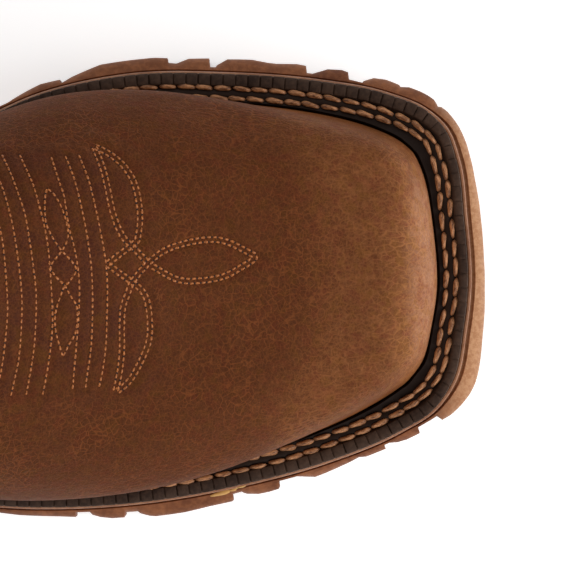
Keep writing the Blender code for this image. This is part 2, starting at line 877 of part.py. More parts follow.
def make_pull_strap(name, side, collection, material):
    """Leather loop sewn over the collar at one side."""
    half_share = STRAP_WIDTH / SHAFT_LENGTH / 2
    paths = []
    for i in range(STRAP_COLUMNS + 1):
        share = SEAM_MIDDLE + side * half_share * (1.0 - 2.0 * i / STRAP_COLUMNS)
        paths.append(strap_path(place_of_share(share, side)))
    rows = [list(row) for row in zip(*paths)]
    half = STRAP_THICKNESS / 2
    return shell(name, rows, -half, half, collection, material, closed=False)


def make_side_seam(name, side, collection, material):
    """Raised seam down one side of the shaft, from under the strap to the upper."""
    levels = 2 * SHAFT_ROWS
    half_share = SEAM_WIDTH / SHAFT_LENGTH / 2
    top = level_below(place_of_share(SEAM_MIDDLE, side), STRAP_DROP + SEAM_WIDTH / 2)
    rows = []
    for i in range(levels + 1):
        level = SEAM_FOOT + (top - SEAM_FOOT) * i / levels
        turned = smooth_step(level, 0.0, SEAM_STRAIGHT)
        middle = SEAM_START + (SEAM_MIDDLE - SEAM_START) * turned
        row = []
        for turn in (1.0, 0.0, -1.0):
            row.append(shaft_point(place_of_share(middle + side * half_share * turn, side), level))
        rows.append(row)
    return shell(name, rows, LAYER_GAP, LAYER_GAP + SEAM_RAISE, collection, material, closed=False)


def build():
    """Make every piece of the boot."""
    clear_scene()
    boot = make_collection("western_work_boot")
    cutters = make_collection("cutters")
    leather = make_material("brown_leather", (0.150, 0.053, 0.022), 0.55)
    shaft_leather = make_material("shaft_leather", (0.120, 0.043, 0.019), 0.60)
    rubber = make_material("brown_rubber", (0.262, 0.098, 0.042), 0.75)
    welt_rubber = make_material("dark_welt", (0.030, 0.021, 0.019), 0.70)
    board = make_material("insole_leather", (0.380, 0.230, 0.120), 0.80)
    make_outsole(boot, cutters, rubber)
    make_heel(boot, cutters, rubber)
    make_midsole(boot, rubber)
    make_welt(boot, welt_rubber)
    make_insole(boot, board)
    make_upper(boot, leather)
    make_shaft(boot, shaft_leather)
    make_counter(boot, cutters, leather)
    for name, side in (("medial", 1), ("lateral", -1)):
        make_side_seam(f"side_seam_{name}", side, boot, leather)
        make_pull_strap(f"pull_strap_{name}", side, boot, leather)


build()
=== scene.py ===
"""Looks of the western work boot: stitched leather, ribbed welt and brown rubber sole.

+X points to the toe, +Y to the big-toe side and +Z up. All sizes are in metres.
"""
import math

import bmesh
import bpy
import numpy as np
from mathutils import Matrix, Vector
from mathutils.bvhtree import BVHTree
from mathutils.kdtree import KDTree


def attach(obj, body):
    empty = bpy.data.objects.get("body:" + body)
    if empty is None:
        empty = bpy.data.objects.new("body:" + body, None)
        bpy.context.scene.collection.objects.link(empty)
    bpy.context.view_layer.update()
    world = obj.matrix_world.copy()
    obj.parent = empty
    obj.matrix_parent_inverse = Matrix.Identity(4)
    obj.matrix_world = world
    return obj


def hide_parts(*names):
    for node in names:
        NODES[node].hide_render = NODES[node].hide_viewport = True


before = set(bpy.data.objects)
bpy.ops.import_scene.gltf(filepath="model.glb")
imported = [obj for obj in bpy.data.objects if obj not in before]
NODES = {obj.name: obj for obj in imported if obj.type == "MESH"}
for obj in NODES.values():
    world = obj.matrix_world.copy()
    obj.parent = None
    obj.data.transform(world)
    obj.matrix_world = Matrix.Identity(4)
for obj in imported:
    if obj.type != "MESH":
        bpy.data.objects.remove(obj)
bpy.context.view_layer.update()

# The photograph's frame: metres for each of its pixels at the level of the sole
PIXEL = 0.00025
LEFT_EDGE = 0.033
MIDDLE_ROW = 288.1
SOLE_LEVEL = 0.015
PICTURE = 580
EYE = Vector((0.1055, -0.0005, 1.5))

# Sizes shared with the solids
SOLE_LENGTH = 0.308
BALL_WIDTH = 0.108
INSTEP_RISE = 0.115
SOLE_STACK = 0.021
TOE_SPRING = 0.012
HEEL_RISE = 0.022
HEEL_LENGTH = 0.070
MIDSOLE_THICKNESS = 0.0040
OUTSOLE_THICKNESS = 0.0095
LUG_BAR = 0.021
LAYER_GAP = 0.0007
RUBBER_ROUNDING = 0.0006
TOE_WALL = 0.138
WELT_WIDTH = 0.0072

# Welt edge in plan, as in the solids
EDGE = (
    # along, across
    (0.4880, 0.000),
    (0.4848, 0.162),
    (0.4787, 0.296),
    (0.4690, 0.367),
    (0.4530, 0.410),
    (0.4220, 0.448),
    (0.3656, 0.480),
    (0.2906, 0.497),
    (0.2159, 0.495),
    (0.1451, 0.454),
    (0.0650, 0.356),
    (-0.0325, 0.285),
    (-0.1460, 0.273),
    (-0.2600, 0.310),
    (-0.3570, 0.345),
    (-0.4380, 0.310),
    (-0.4820, 0.185),
    (-0.4940, 0.028),
    (-0.4820, -0.130),
    (-0.4380, -0.252),
    (-0.3570, -0.303),
    (-0.2430, -0.338),
    (-0.1130, -0.398),
    (0.0160, -0.472),
    (0.1341, -0.509),
    (0.2270, -0.496),
    (0.3100, -0.453),
    (0.3747, -0.401),
    (0.4318, -0.332),
    (0.4607, -0.278),
    (0.4756, -0.216),
    (0.4844, -0.097),
)

# How much wider the welt is where the leather stands back from it, as in the solids
WELT_SWELL = (
    # row, share of WELT_WIDTH
    (0.0, 0.12),
    (1.0, 0.17),
    (2.0, 0.30),
    (3.0, 0.42),
    (4.0, 0.40),
    (5.0, 0.28),
    (6.0, 0.13),
    (7.5, 0.00),
    (25.0, 0.00),
    (26.5, 0.06),
    (27.5, 0.20),
    (28.5, 0.34),
    (29.5, 0.36),
    (30.5, 0.22),
    (32.0, 0.12),
)

# Rim of the sole from the toe over the big-toe side, then from the little-toe side back to the
# toe, in the photograph's pixels. stands is 1 where a lug reaches down to the floor.
BIG_TOE_RIM = (
    # column, row, stands
    (484.0, 290.0, 1), (483.2, 258.0, 1), (481.5, 230.0, 1), (478.8, 205.0, 1),
    (474.3, 179.9, 1), (471.0, 162.8, 1), (466.6, 146.2, 1), (461.5, 133.5, 1),
    (453.9, 120.8, 1), (446.9, 112.5, 1), (441.1, 108.0, 1), (437.3, 107.4, 1),
    (436.2, 104.9, 1), (433.5, 100.7, 1), (428.4, 96.9, 1), (419.5, 92.1, 1),
    (408.7, 88.0, 1), (400.2, 87.6, 1), (398.8, 85.5, 1), (385.5, 80.2, 1),
    (373.3, 78.6, 1), (363.6, 81.4, 1), (362.0, 83.5, 0), (349.0, 79.8, 0),
    (348.0, 72.6, 1), (341.8, 70.2, 1), (327.3, 69.5, 1), (318.8, 72.0, 1),
    (312.7, 73.8, 0), (307.0, 73.2, 0), (306.0, 65.9, 1), (297.0, 64.1, 1),
    (276.4, 63.7, 1), (266.7, 62.5, 1), (252.0, 59.6, 1), (240.0, 59.2, 1),
    (227.3, 59.1, 1), (216.6, 65.2, 1), (215.8, 67.0, 0), (210.2, 67.0, 0),
    (209.0, 58.2, 1), (188.5, 58.5, 1), (176.4, 63.3, 0), (168.3, 62.7, 0),
    (167.2, 57.9, 1), (154.5, 57.5, 1), (137.6, 59.1, 1), (100.0, 64.5, 1),
    (71.5, 76.7, 1), (62.0, 82.6, 0), (60.5, 82.9, 0), (59.5, 79.5, 1),
    (40.0, 84.0, 1), (12.0, 99.5, 1), (8.0, 105.0, 0),
)
LITTLE_TOE_RIM = (
    # column, row, stands
    (-24.0, 508.0, 0), (-10.0, 511.5, 1), (20.0, 515.5, 1), (60.0, 516.8, 1),
    (75.6, 517.4, 1), (76.4, 512.6, 0), (89.7, 512.2, 0), (92.1, 515.0, 1),
    (100.0, 517.4, 1), (112.0, 518.6, 1), (124.2, 517.8, 1), (125.3, 516.2, 1),
    (125.9, 512.6, 0), (137.6, 511.7, 0), (140.6, 513.8, 1), (149.7, 516.2, 1),
    (155.8, 516.6, 1), (169.0, 515.0, 1), (184.8, 512.6, 1), (210.3, 506.5, 1),
    (232.2, 501.7, 1), (233.6, 500.5, 1), (232.6, 494.4, 0), (241.8, 492.0, 0),
    (243.5, 493.0, 1), (247.3, 494.2, 1), (258.2, 494.3, 1), (269.0, 492.1, 1),
    (278.8, 489.1, 1), (280.0, 486.7, 1), (279.3, 480.0, 0), (295.8, 473.3, 0),
    (298.2, 476.4, 1), (315.2, 477.0, 1), (324.8, 473.3, 1), (337.0, 467.9, 1),
    (349.0, 462.4, 1), (358.8, 457.0, 1), (366.0, 456.4, 1), (385.5, 448.5, 1),
    (384.2, 444.6, 0), (386.8, 442.6, 0), (397.6, 441.8, 1), (406.0, 439.4, 1),
    (419.4, 432.7, 1), (417.4, 426.0, 0), (436.2, 415.7, 0), (438.3, 417.2, 1),
    (441.7, 419.5, 1), (449.7, 414.9, 1), (460.4, 405.0, 1), (468.9, 394.3, 1),
    (475.0, 382.0, 1), (479.6, 360.6, 1), (482.6, 330.0, 1), (484.0, 310.0, 1),
)

# Reach of the sole's edge where the photograph doesn't show it
WAIST_REACH = 0.0010

# Stitches: length, width, height, how far the ends dip
WELT_STITCH = (0.0047, 0.00126, 0.0012, 0.0007)
FANCY_STITCH = (0.00142, 0.00058, 0.00052, 0.00026)
LEG_STITCH = (0.0023, 0.00075, 0.00065, 0.00030)
WELT_PITCH = 0.0046
FANCY_PITCH = 0.00150
LEG_PITCH = 0.0026

# How deep the middles of the stitches lie below the leather
FANCY_DEPTH = 0.00018
LEG_DEPTH = 0.00012

# Needle holes, drawn as dark discs of painted shade: depth of the spot below the leather, lift of
# the dark disc above that spot
HOLE_DEPTH = 0.00022
HOLE_LIFT = 0.00003
HOLE_RADIUS = 0.00026
HOLE_SIDES = 7

# Stitched lines on the vamp, in the photograph's pixels
WRINKLES = (
    ((78.6, 154), (88, 178), (95, 205), (102, 239), (106, 264), (107.5, 290), (107, 318),
     (106, 345), (103, 369), (99, 388)),
    ((65, 155), (74, 178), (81, 205), (87, 235), (91, 264), (92.5, 290), (92.5, 318),
     (91, 349), (87, 377), (85.6, 389)),
    ((51, 156), (59, 181), (64, 196), (69, 227), (74, 246), (78, 268), (79.5, 290),
     (78.6, 318), (76, 351), (74, 373), (72.7, 390)),
    ((19.4, 154), (27.7, 172), (34, 187), (40.7, 211), (43.5, 222), (48, 246), (50, 268),
     (51.4, 290), (52.7, 318), (51, 345), (47, 373), (42.5, 396)),
    ((1.8, 154), (11, 174), (18.5, 194), (25, 214.5), (29.6, 240), (33, 264), (36, 290),
     (36, 318), (34, 349), (29.6, 377), (26, 396)),
    ((-12, 155), (-6, 168), (0, 181), (7, 202), (13, 227), (17.6, 255), (21.5, 290), (21.8, 318),
     (19.4, 355), (14.8, 379), (10.7, 397)),
    ((-22, 172), (-9, 202), (0, 229), (3.7, 250), (7, 290), (7.4, 318), (3.7, 355), (0, 377),
     (-5, 397)),
)
CHAIN = (
    ((47, 188), (55.5, 196), (63, 211), (68, 229), (67, 241), (62, 251)),
    ((47, 188), (45, 200), (46, 222), (53.6, 239), (62, 251)),
    ((62, 251), (51, 266), (55.5, 276), (65, 286), (70, 295), (77, 308), (76, 331), (69, 345),
     (63, 357)),
    ((62, 251), (76, 268), (70, 281), (65, 286), (61, 295), (55.5, 314), (56, 332), (63, 357)),
)
LEAVES = (
    ((148, 263), (166.5, 249.5), (196, 241), (222, 240.5), (246, 251), (254.5, 258), (240, 268),
     (222, 277), (196, 281), (176, 279), (152, 266)),
    ((94, 146), (109, 153.5), (124, 166), (135, 185), (140, 213), (138, 237),
     (133, 244), (107, 264)),
    ((94, 146), (102, 166), (107, 185), (113, 213), (122, 235), (133, 247), (148, 263)),
    ((107, 264), (133, 283), (143, 292), (148, 305), (150, 327), (148, 344), (140.6, 362),
     (129.5, 381), (116.5, 392)),
    ((148, 263), (133, 281), (127.6, 294), (123, 308), (122, 327), (122, 349), (120, 370),
     (115.6, 392)),
)
# How far apart the two rows of a leaf run, in pixels
DOUBLE_ROW = 4.7


# Small helpers

def smooth_step(value, start, end):
    """Ease from 0 at start to 1 at end."""
    share = min(1.0, max(0.0, (value - start) / (end - start)))
    return share * share * (3.0 - 2.0 * share)


def ease(values, start, end):
    """The same for an array."""
    share = np.clip((values - start) / (end - start), 0.0, 1.0)
    return share * share * (3.0 - 2.0 * share)


def rgb(red, green, blue):
    """Display colour out of 255 as a linear colour."""
    channels = []
    for value in (red, green, blue):
        value = value / 255.0
        channels.append(value / 12.92 if value <= 0.04045 else ((value + 0.055) / 1.055) ** 2.4)
    return (*channels, 1.0)


# Heights and outline of the sole

HALF = SOLE_LENGTH / 2
HEEL_BREAST = HEEL_LENGTH - HALF
SPRING_START = 0.276 * SOLE_LENGTH
ARCH_START = 0.146 * SOLE_LENGTH


def toe_spring(x):
    """Height that the sole curls up in front of the ball."""
    share = max(0.0, (x - SPRING_START) / (HALF - SPRING_START))
    return TOE_SPRING * share ** 1.7


def seat(x):
    """Top of the midsole."""
    return SOLE_STACK + toe_spring(x) + HEEL_RISE * smooth_step(-x, -ARCH_START, -HEEL_BREAST)


def outsole_top(x):
    """Top of the rubber outsole."""
    return seat(x) - MIDSOLE_THICKNESS - LAYER_GAP


EDGE_POINTS = np.array(EDGE) * (SOLE_LENGTH, BALL_WIDTH)
EDGE_STEPS = np.linalg.norm(np.roll(EDGE_POINTS, -1, axis=0) - EDGE_POINTS, axis=1)


def edge_tangent(row):
    """Direction of the outline at one row of the table."""
    count = len(EDGE_POINTS)
    before = EDGE_STEPS[(row - 1) % count]
    after = EDGE_STEPS[row % count]
    back = (EDGE_POINTS[row % count] - EDGE_POINTS[(row - 1) % count]) / before
    ahead = (EDGE_POINTS[(row + 1) % count] - EDGE_POINTS[row % count]) / after
    return (back * after + ahead * before) / (before + after)


TANGENTS = [edge_tangent(row) for row in range(len(EDGE))]


def edge(place, out=0.0):
    """Point of the welt's edge at a place counted in rows, moved outward by out."""
    count = len(EDGE_POINTS)
    row = int(math.floor(place))
    t = place - row
    start = EDGE_POINTS[row % count]
    end = EDGE_POINTS[(row + 1) % count]
    step = EDGE_STEPS[row % count]
    leave = TANGENTS[row % count] * step
    arrive = TANGENTS[(row + 1) % count] * step
    point = (2 * t ** 3 - 3 * t ** 2 + 1) * start + (t ** 3 - 2 * t ** 2 + t) * leave
    point = point + (3 * t ** 2 - 2 * t ** 3) * end + (t ** 3 - t ** 2) * arrive
    along = (6 * t ** 2 - 6 * t) * (start - end) + (3 * t ** 2 - 4 * t + 1) * leave
    along = along + (3 * t ** 2 - 2 * t) * arrive
    normal = np.array((along[1], -along[0])) / np.linalg.norm(along)
    return point + normal * out


def on_seat(place, out, height):
    """Point beside the welt's edge, at a height over the midsole's top."""
    x, y = edge(place, out)
    return x, y, seat(x) + height


FINE_PLACES = np.linspace(0.0, len(EDGE), 2049)


def toe_share(x):
    """1 on the toe wall, 0 behind it."""
    return smooth_step(x, TOE_WALL, 0.148)


def lengths_round(out, stretch=0.0):
    """Length walked round the boot at each fine place, on a line moved outward by out.

    The toe counts as shorter by stretch, so that what is spaced along it stands wider there.
    """
    points = np.array([edge(place, out) for place in FINE_PLACES])
    steps = np.linalg.norm(np.diff(points, axis=0), axis=1)
    steps /= 1.0 + stretch * np.array([toe_share(point[0]) for point in points[1:]])
    return np.concatenate(((0.0,), np.cumsum(steps)))


EDGE_LENGTHS = lengths_round(0.0)


# Meshes

def add_object(name, data):
    """New object in the scene."""
    piece = bpy.data.objects.new(name, data)
    bpy.context.scene.collection.objects.link(piece)
    return piece


def mesh_object(name, vertices, faces, material, body="root", uv=None):
    """Object that rides on the boot, made of a list of points and faces."""
    mesh = bpy.data.meshes.new(name)
    mesh.from_pydata([tuple(v) for v in vertices], [], faces)
    if uv is not None:
        layer = mesh.uv_layers.new(name="thread")
        loops = np.zeros(len(mesh.loops), dtype=np.int32)
        mesh.loops.foreach_get("vertex_index", loops)
        layer.data.foreach_set("uv", np.asarray(uv, dtype=np.float32)[loops].ravel())
    mesh.materials.append(material)
    piece = add_object(name, mesh)
    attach(piece, body)
    return piece


def outward(piece):
    """Turn the faces of a closed piece outward."""
    bm = bmesh.new()
    bm.from_mesh(piece.data)
    bmesh.ops.recalc_face_normals(bm, faces=bm.faces)
    bm.to_mesh(piece.data)
    bm.free()


def smooth(piece, angle):
    """Smooth shading with sharp edges past an angle in degrees."""
    piece.data.shade_smooth()
    piece.data.set_sharp_from_angle(angle=math.radians(angle))


def band(name, sections, material):
    """Closed band round the boot, from sections that each hold the same number of points."""
    count = len(sections)
    width = len(sections[0])
    faces = []
    for i in range(count):
        j = (i + 1) % count
        for a in range(width):
            b = (a + 1) % width
            faces.append((i * width + a, i * width + b, j * width + b, j * width + a))
    vertices = np.array(sections).reshape(-1, 3)
    piece = mesh_object(name, vertices, faces, material)
    outward(piece)
    return piece


def strand(length, width, height, dip, rings=9, sides=8, blunt=4.2):
    """One stitch of two twisted plies along X, with each point's place on the thread."""
    points = []
    marks = []
    for i in range(rings):
        t = i / (rings - 1)
        bulge = max(0.0, 1.0 - abs(2.0 * t - 1.0) ** blunt) ** 0.55
        bulge = max(bulge, 0.22)
        for k in range(sides):
            turn = 2.0 * math.pi * k / sides
            ply = bulge * (1.0 + 0.12 * math.cos(2.0 * (turn - math.pi * (1.1 * t + 0.2))))
            points.append(((t - 0.5) * length, 0.5 * width * ply * math.cos(turn),
                           0.5 * height * ply * math.sin(turn)
                           - dip * abs(2.0 * t - 1.0) ** 4))
            marks.append((t, k / sides))
    faces = []
    for i in range(rings - 1):
        for k in range(sides):
            n = (k + 1) % sides
            faces.append((i * sides + k, (i + 1) * sides + k, (i + 1) * sides + n, i * sides + n))
    return np.array(points), marks, faces


def stitch_row(name, spots, size, material, slant=0.0, rings=9, sides=8, blunt=4.2):
    """Row of stitches as one mesh. Each spot is (point, direction, up), size as in the table."""
    points, marks, faces = strand(*size, rings, sides, blunt)
    vertices = []
    all_faces = []
    uv = []
    for number, (point, direction, up) in enumerate(spots):
        tilt = math.tan(math.radians(slant * (1.0 + 0.5 * math.sin(number * 3.7))))
        up = Vector(up).normalized()
        ahead = Vector(direction) - up * Vector(direction).dot(up)
        ahead.normalize()
        side = up.cross(ahead)
        ahead = (ahead + side * tilt).normalized()
        side = up.cross(ahead)
        longer = 1.0 + 0.05 * math.sin(number * 2.4)
        wider = 1.0 + 0.09 * math.sin(number * 5.1 + 1.0)
        turned = (points[:, :1] * longer * np.array(ahead)
                  + points[:, 1:2] * wider * np.array(side)
                  + points[:, 2:] * np.array(up) + np.array(point))
        start = len(vertices)
        vertices.extend(turned.tolist())
        all_faces.extend([tuple(start + k for k in face) for face in faces])
        uv.extend([(t * 0.98 + 0.01 + number * 4.0, k) for t, k in marks])
    piece = mesh_object(name, vertices, all_faces, material, uv=uv)
    piece.data.shade_smooth()
    return piece


def holes(name, spots, material):
    """Dark discs of painted shade in the needle holes, as one mesh. Each spot is (point, up)."""
    vertices = []
    faces = []
    for point, up in spots:
        up = Vector(up).normalized()
        side = up.orthogonal().normalized()
        other = up.cross(side)
        start = len(vertices)
        for k in range(HOLE_SIDES):
            turn = 2.0 * math.pi * k / HOLE_SIDES
            vertices.append(Vector(point) + side * math.cos(turn) * HOLE_RADIUS
                            + other * math.sin(turn) * HOLE_RADIUS + up * HOLE_LIFT)
        faces.append(tuple(range(start, start + HOLE_SIDES)))
    return mesh_object(name, vertices, faces, material)


def walk(points, pitch, offset=0.5):
    """Points at an even pitch along a line of 3-D points, with the direction there."""
    points = np.array(points)
    steps = np.linalg.norm(np.diff(points, axis=0), axis=1)
    along = np.concatenate(((0.0,), np.cumsum(steps)))
    count = max(1, int(round(along[-1] / pitch)))
    pitch = along[-1] / count
    spots = []
    for i in range(count):
        place = (i + offset) * pitch
        here = [np.interp(place, along, points[:, k]) for k in range(3)]
        back = [np.interp(place - pitch / 3, along, points[:, k]) for k in range(3)]
        on = [np.interp(place + pitch / 3, along, points[:, k]) for k in range(3)]
        spots.append((np.array(here), np.array(on) - np.array(back)))
    return spots


def curve_through(points, samples=8):
    """Smooth line through given points."""
    points = [np.array(p, dtype=float) for p in points]
    line = []
    for i in range(len(points) - 1):
        p0 = points[max(i - 1, 0)]
        p1 = points[i]
        p2 = points[i + 1]
        p3 = points[min(i + 2, len(points) - 1)]
        for k in range(samples):
            t = k / samples
            line.append(0.5 * (2 * p1 + (p2 - p0) * t + (2 * p0 - 5 * p1 + 4 * p2 - p3) * t * t
                               + (3 * p1 - p0 - 3 * p2 + p3) * t ** 3))
    line.append(points[-1])
    return line


# Shading helpers

class Look:
    """Material with short calls for its nodes."""

    def __init__(self, name, colour, roughness, **settings):
        self.material = bpy.data.materials.new(name)
        self.material.use_nodes = True
        self.tree = self.material.node_tree
        self.shader = self.tree.nodes["Principled BSDF"]
        self.shader.inputs["Base Color"].default_value = colour
        self.shader.inputs["Roughness"].default_value = roughness
        for key, value in settings.items():
            self.shader.inputs[key.replace("_", " ")].default_value = value
        self.place = self.node("ShaderNodeTexCoord").outputs["Object"]

    def node(self, kind, values=None, **settings):
        """New node with its settings and its input values or links."""
        node = self.tree.nodes.new(kind)
        for key, value in settings.items():
            setattr(node, key, value)
        for key, value in (values or {}).items():
            if isinstance(value, bpy.types.NodeSocket):
                self.tree.links.new(value, node.inputs[key])
            else:
                node.inputs[key].default_value = value
        return node

    def math(self, operation, first, second=0.0, clamp=False):
        """Result of one operation."""
        return self.node("ShaderNodeMath", {0: first, 1: second}, operation=operation,
                         use_clamp=clamp).outputs[0]

    def times(self, first, second):
        """Product of two values."""
        return self.math("MULTIPLY", first, second)

    def plus(self, first, second, clamp=False):
        """Total of two values."""
        return self.math("ADD", first, second, clamp)

    def span(self, value, low, high, out_low=0.0, out_high=1.0):
        """Smoothly move a value from one range to another."""
        return self.node("ShaderNodeMapRange",
                         {"Value": value, "From Min": low, "From Max": high,
                          "To Min": out_low, "To Max": out_high},
                         interpolation_type="SMOOTHSTEP").outputs[0]

    def mix(self, share, first, second, blend="MIX"):
        """Mix of two colours."""
        node = self.node("ShaderNodeMix", {0: share, 6: first, 7: second}, data_type="RGBA",
                         blend_type=blend)
        return node.outputs[2]

    def noise(self, scale, detail=3.0, rough=0.5, place=None, distortion=0.0):
        """Noise value from 0 to 1."""
        return self.node("ShaderNodeTexNoise",
                         {"Vector": place or self.place, "Scale": scale, "Detail": detail,
                          "Roughness": rough, "Distortion": distortion}).outputs["Fac"]

    def warped(self, scale, amount, stretch=(1.0, 1.0, 1.0)):
        """Place pushed about by noise and stretched."""
        push = self.node("ShaderNodeTexNoise",
                         {"Vector": self.place, "Scale": scale, "Detail": 2.0}).outputs["Color"]
        centred = self.node("ShaderNodeVectorMath", {0: push, 1: (0.5, 0.5, 0.5)},
                            operation="SUBTRACT").outputs[0]
        scaled = self.node("ShaderNodeVectorMath", {0: centred, "Scale": amount},
                           operation="SCALE").outputs[0]
        moved = self.node("ShaderNodeVectorMath", {0: self.place, 1: scaled},
                          operation="ADD").outputs[0]
        return self.node("ShaderNodeVectorMath", {0: moved, 1: stretch},
                         operation="MULTIPLY").outputs[0]

    def cells(self, scale, place):
        """Distance to the nearest border between cells."""
        return self.node("ShaderNodeTexVoronoi", {"Vector": place, "Scale": scale},
                         feature="DISTANCE_TO_EDGE").outputs["Distance"]

    def attribute(self, name):
        """Value painted on the mesh."""
        return self.node("ShaderNodeAttribute", attribute_name=name,
                         attribute_type="GEOMETRY").outputs["Fac"]

    def colour(self, socket):
        """Use a socket as the base colour."""
        self.tree.links.new(socket, self.shader.inputs["Base Color"])

    def rough(self, socket):
        """Use a socket as the roughness."""
        self.tree.links.new(socket, self.shader.inputs["Roughness"])

    def bump(self, height, distance, strength=1.0):
        """Use a height in metres times distance as relief."""
        node = self.node("ShaderNodeBump", {"Height": height, "Distance": distance,
                                            "Strength": strength})
        self.tree.links.new(node.outputs[0], self.shader.inputs["Normal"])


def vamp_leather():
    """Oily pebbled leather: dark cells in a finer light network, with painted light and a painted
    highlight on the toe.
    """
    look = Look("vamp_leather", rgb(80, 41, 17), 0.5, Specular_IOR_Level=0.06)
    front = look.attribute("front")
    hem = look.attribute("hem")
    long_way = look.attribute("side")
    round_cells = look.cells(580.0, look.warped(170.0, 0.0046))
    long_cells = look.cells(660.0, look.warped(150.0, 0.0028, (0.36, 1.0, 1.0)))
    fine_cells = look.cells(1150.0, look.warped(320.0, 0.0016))
    round_line = look.span(round_cells, 0.0, 0.11, 1.0, 0.0)
    long_line = look.span(long_cells, 0.0, 0.12, 1.0, 0.0)
    fine_line = look.span(fine_cells, 0.0, 0.16, 1.0, 0.0)
    main_line = look.node("ShaderNodeMix", {0: long_way, 2: round_line, 3: long_line}).outputs[0]
    weight = look.span(look.noise(60.0, 3.0, 0.6), 0.32, 0.66, 0.25, 1.0)
    calm = look.attribute("calm")
    weight = look.times(weight, look.span(calm, 0.0, 1.0, 1.0, 0.3))
    network = look.times(main_line, weight)
    network = look.plus(network, look.times(fine_line, 0.42), clamp=True)
    blotch = look.span(look.noise(36.0, 4.0, 0.6), 0.32, 0.70)
    speckle = look.span(look.noise(1500.0, 3.0, 0.65), 0.34, 0.68)
    grain = look.span(look.noise(620.0, 4.0, 0.65), 0.32, 0.70)
    body = look.mix(blotch, rgb(77, 41, 20), rgb(85, 46, 23))
    red = look.span(look.noise(330.0, 3.0, 0.6), 0.46, 0.64, 0.0, 0.6)
    gold = look.span(look.noise(290.0, 3.0, 0.6), 0.48, 0.66, 0.0, 0.6)
    body = look.mix(look.times(grain, 0.5), body, rgb(102, 57, 29))
    body = look.mix(red, body, rgb(92, 42, 23))
    body = look.mix(gold, body, rgb(88, 52, 18))
    violet = look.span(look.noise(150.0, 4.0, 0.6), 0.42, 0.62, 0.0, 0.7)
    body = look.mix(look.times(violet, calm), body, rgb(74, 38, 27))
    body = look.mix(look.times(speckle, 0.42), body, rgb(56, 27, 14))
    # Painted light: the toe's front slope takes lighter, lit colours, with a pale greyish painted
    # highlight along its front edge.
    lit = look.mix(look.span(look.noise(240.0, 4.0, 0.65), 0.35, 0.66), rgb(108, 59, 30),
                   rgb(154, 97, 58))
    lit = look.mix(look.times(grain, 0.45), lit, rgb(176, 120, 72))
    edge_highlight = look.span(front, 0.60, 1.0, 0.0, 0.42)
    lit = look.mix(edge_highlight, lit, rgb(204, 152, 122))
    lit = look.mix(red, lit, rgb(142, 78, 52))
    lit = look.mix(gold, lit, rgb(150, 98, 44))
    lit = look.mix(look.times(speckle, 0.4), lit, rgb(104, 54, 28))
    body = look.mix(front, body, lit)
    low = look.mix(look.span(look.noise(90.0, 4.0, 0.6), 0.35, 0.65), rgb(98, 54, 24),
                   rgb(124, 74, 36))
    body = look.mix(look.times(hem, 0.8), body, low)
    # The network's lines are painted lighter on the lit toe as well.
    line_colour = look.mix(front, rgb(132, 74, 38), rgb(190, 128, 78))
    colour = look.mix(look.times(network, 0.5), body, line_colour)
    look.colour(colour)
    dull = look.span(look.plus(blotch, look.times(grain, 0.5)), 0.0, 1.5, 0.74, 0.62)
    look.rough(look.math("SUBTRACT", dull, look.times(front, 0.28)))
    height = look.plus(look.times(network, -0.6), look.times(grain, 0.45))
    look.bump(height, 0.00022, 0.8)
    return look.material


def plain_leather(name, dark, light, line):
    """Leather of the leg and the small pieces."""
    look = Look(name, dark, 0.6, Specular_IOR_Level=0.12)
    cells = look.cells(560.0, look.warped(150.0, 0.0022))
    network = look.span(cells, 0.0, 0.16, 1.0, 0.0)
    weight = look.span(look.noise(70.0, 3.0, 0.6), 0.36, 0.66, 0.15, 1.0)
    network = look.times(network, weight)
    blotch = look.span(look.noise(55.0, 5.0, 0.65), 0.30, 0.72)
    grain = look.noise(900.0, 3.0, 0.6)
    body = look.mix(blotch, dark, light)
    look.colour(look.mix(look.times(network, 0.5), body, line))
    look.rough(look.span(blotch, 0.0, 1.0, 0.6, 0.46))
    height = look.plus(look.times(network, -0.8), look.times(grain, 0.4))
    look.bump(height, 0.0002, 0.8)
    return look.material


def rubber(name, dark, light, roughness, grain_size, depth, toe=None, floor=None):
    """Rubber with a fine moulded grain, with its own colour on the toe wall and painted shade on
    the welt floor.
    """
    look = Look(name, dark, roughness, Specular_IOR_Level=0.14)
    blotch = look.span(look.noise(60.0, 4.0, 0.6), 0.35, 0.65)
    grain = look.noise(grain_size, 3.0, 0.6)
    speck = look.times(look.span(grain, 0.35, 0.7), 0.5)
    share = look.plus(look.times(blotch, 0.6), speck, clamp=True)
    body = look.mix(share, dark, light)
    if toe:
        parts = look.node("ShaderNodeSeparateXYZ", {0: look.place})
        front = look.span(parts.outputs[0], TOE_WALL, 0.1525)
        upright = look.node("ShaderNodeVectorMath", {0: look.place, 1: (1.0, 1.0, 0.12)},
                            operation="MULTIPLY").outputs[0]
        streaks = look.noise(1100.0, 3.0, 0.65, upright)
        wear_and_shade = look.mix(look.span(streaks, 0.36, 0.64), rgb(162, 112, 76), toe)
        body = look.mix(front, body, wear_and_shade)
        grain = look.plus(grain, streaks)
    # Painted shade: the floor colour darkens the welt where its painted unshaded share is low.
    if floor:
        body = look.mix(look.attribute("unshaded"), floor, body)
    look.colour(body)
    look.rough(look.span(blotch, 0.0, 1.0, roughness + 0.06, roughness - 0.06))
    look.bump(grain, depth, 0.7)
    return look.material


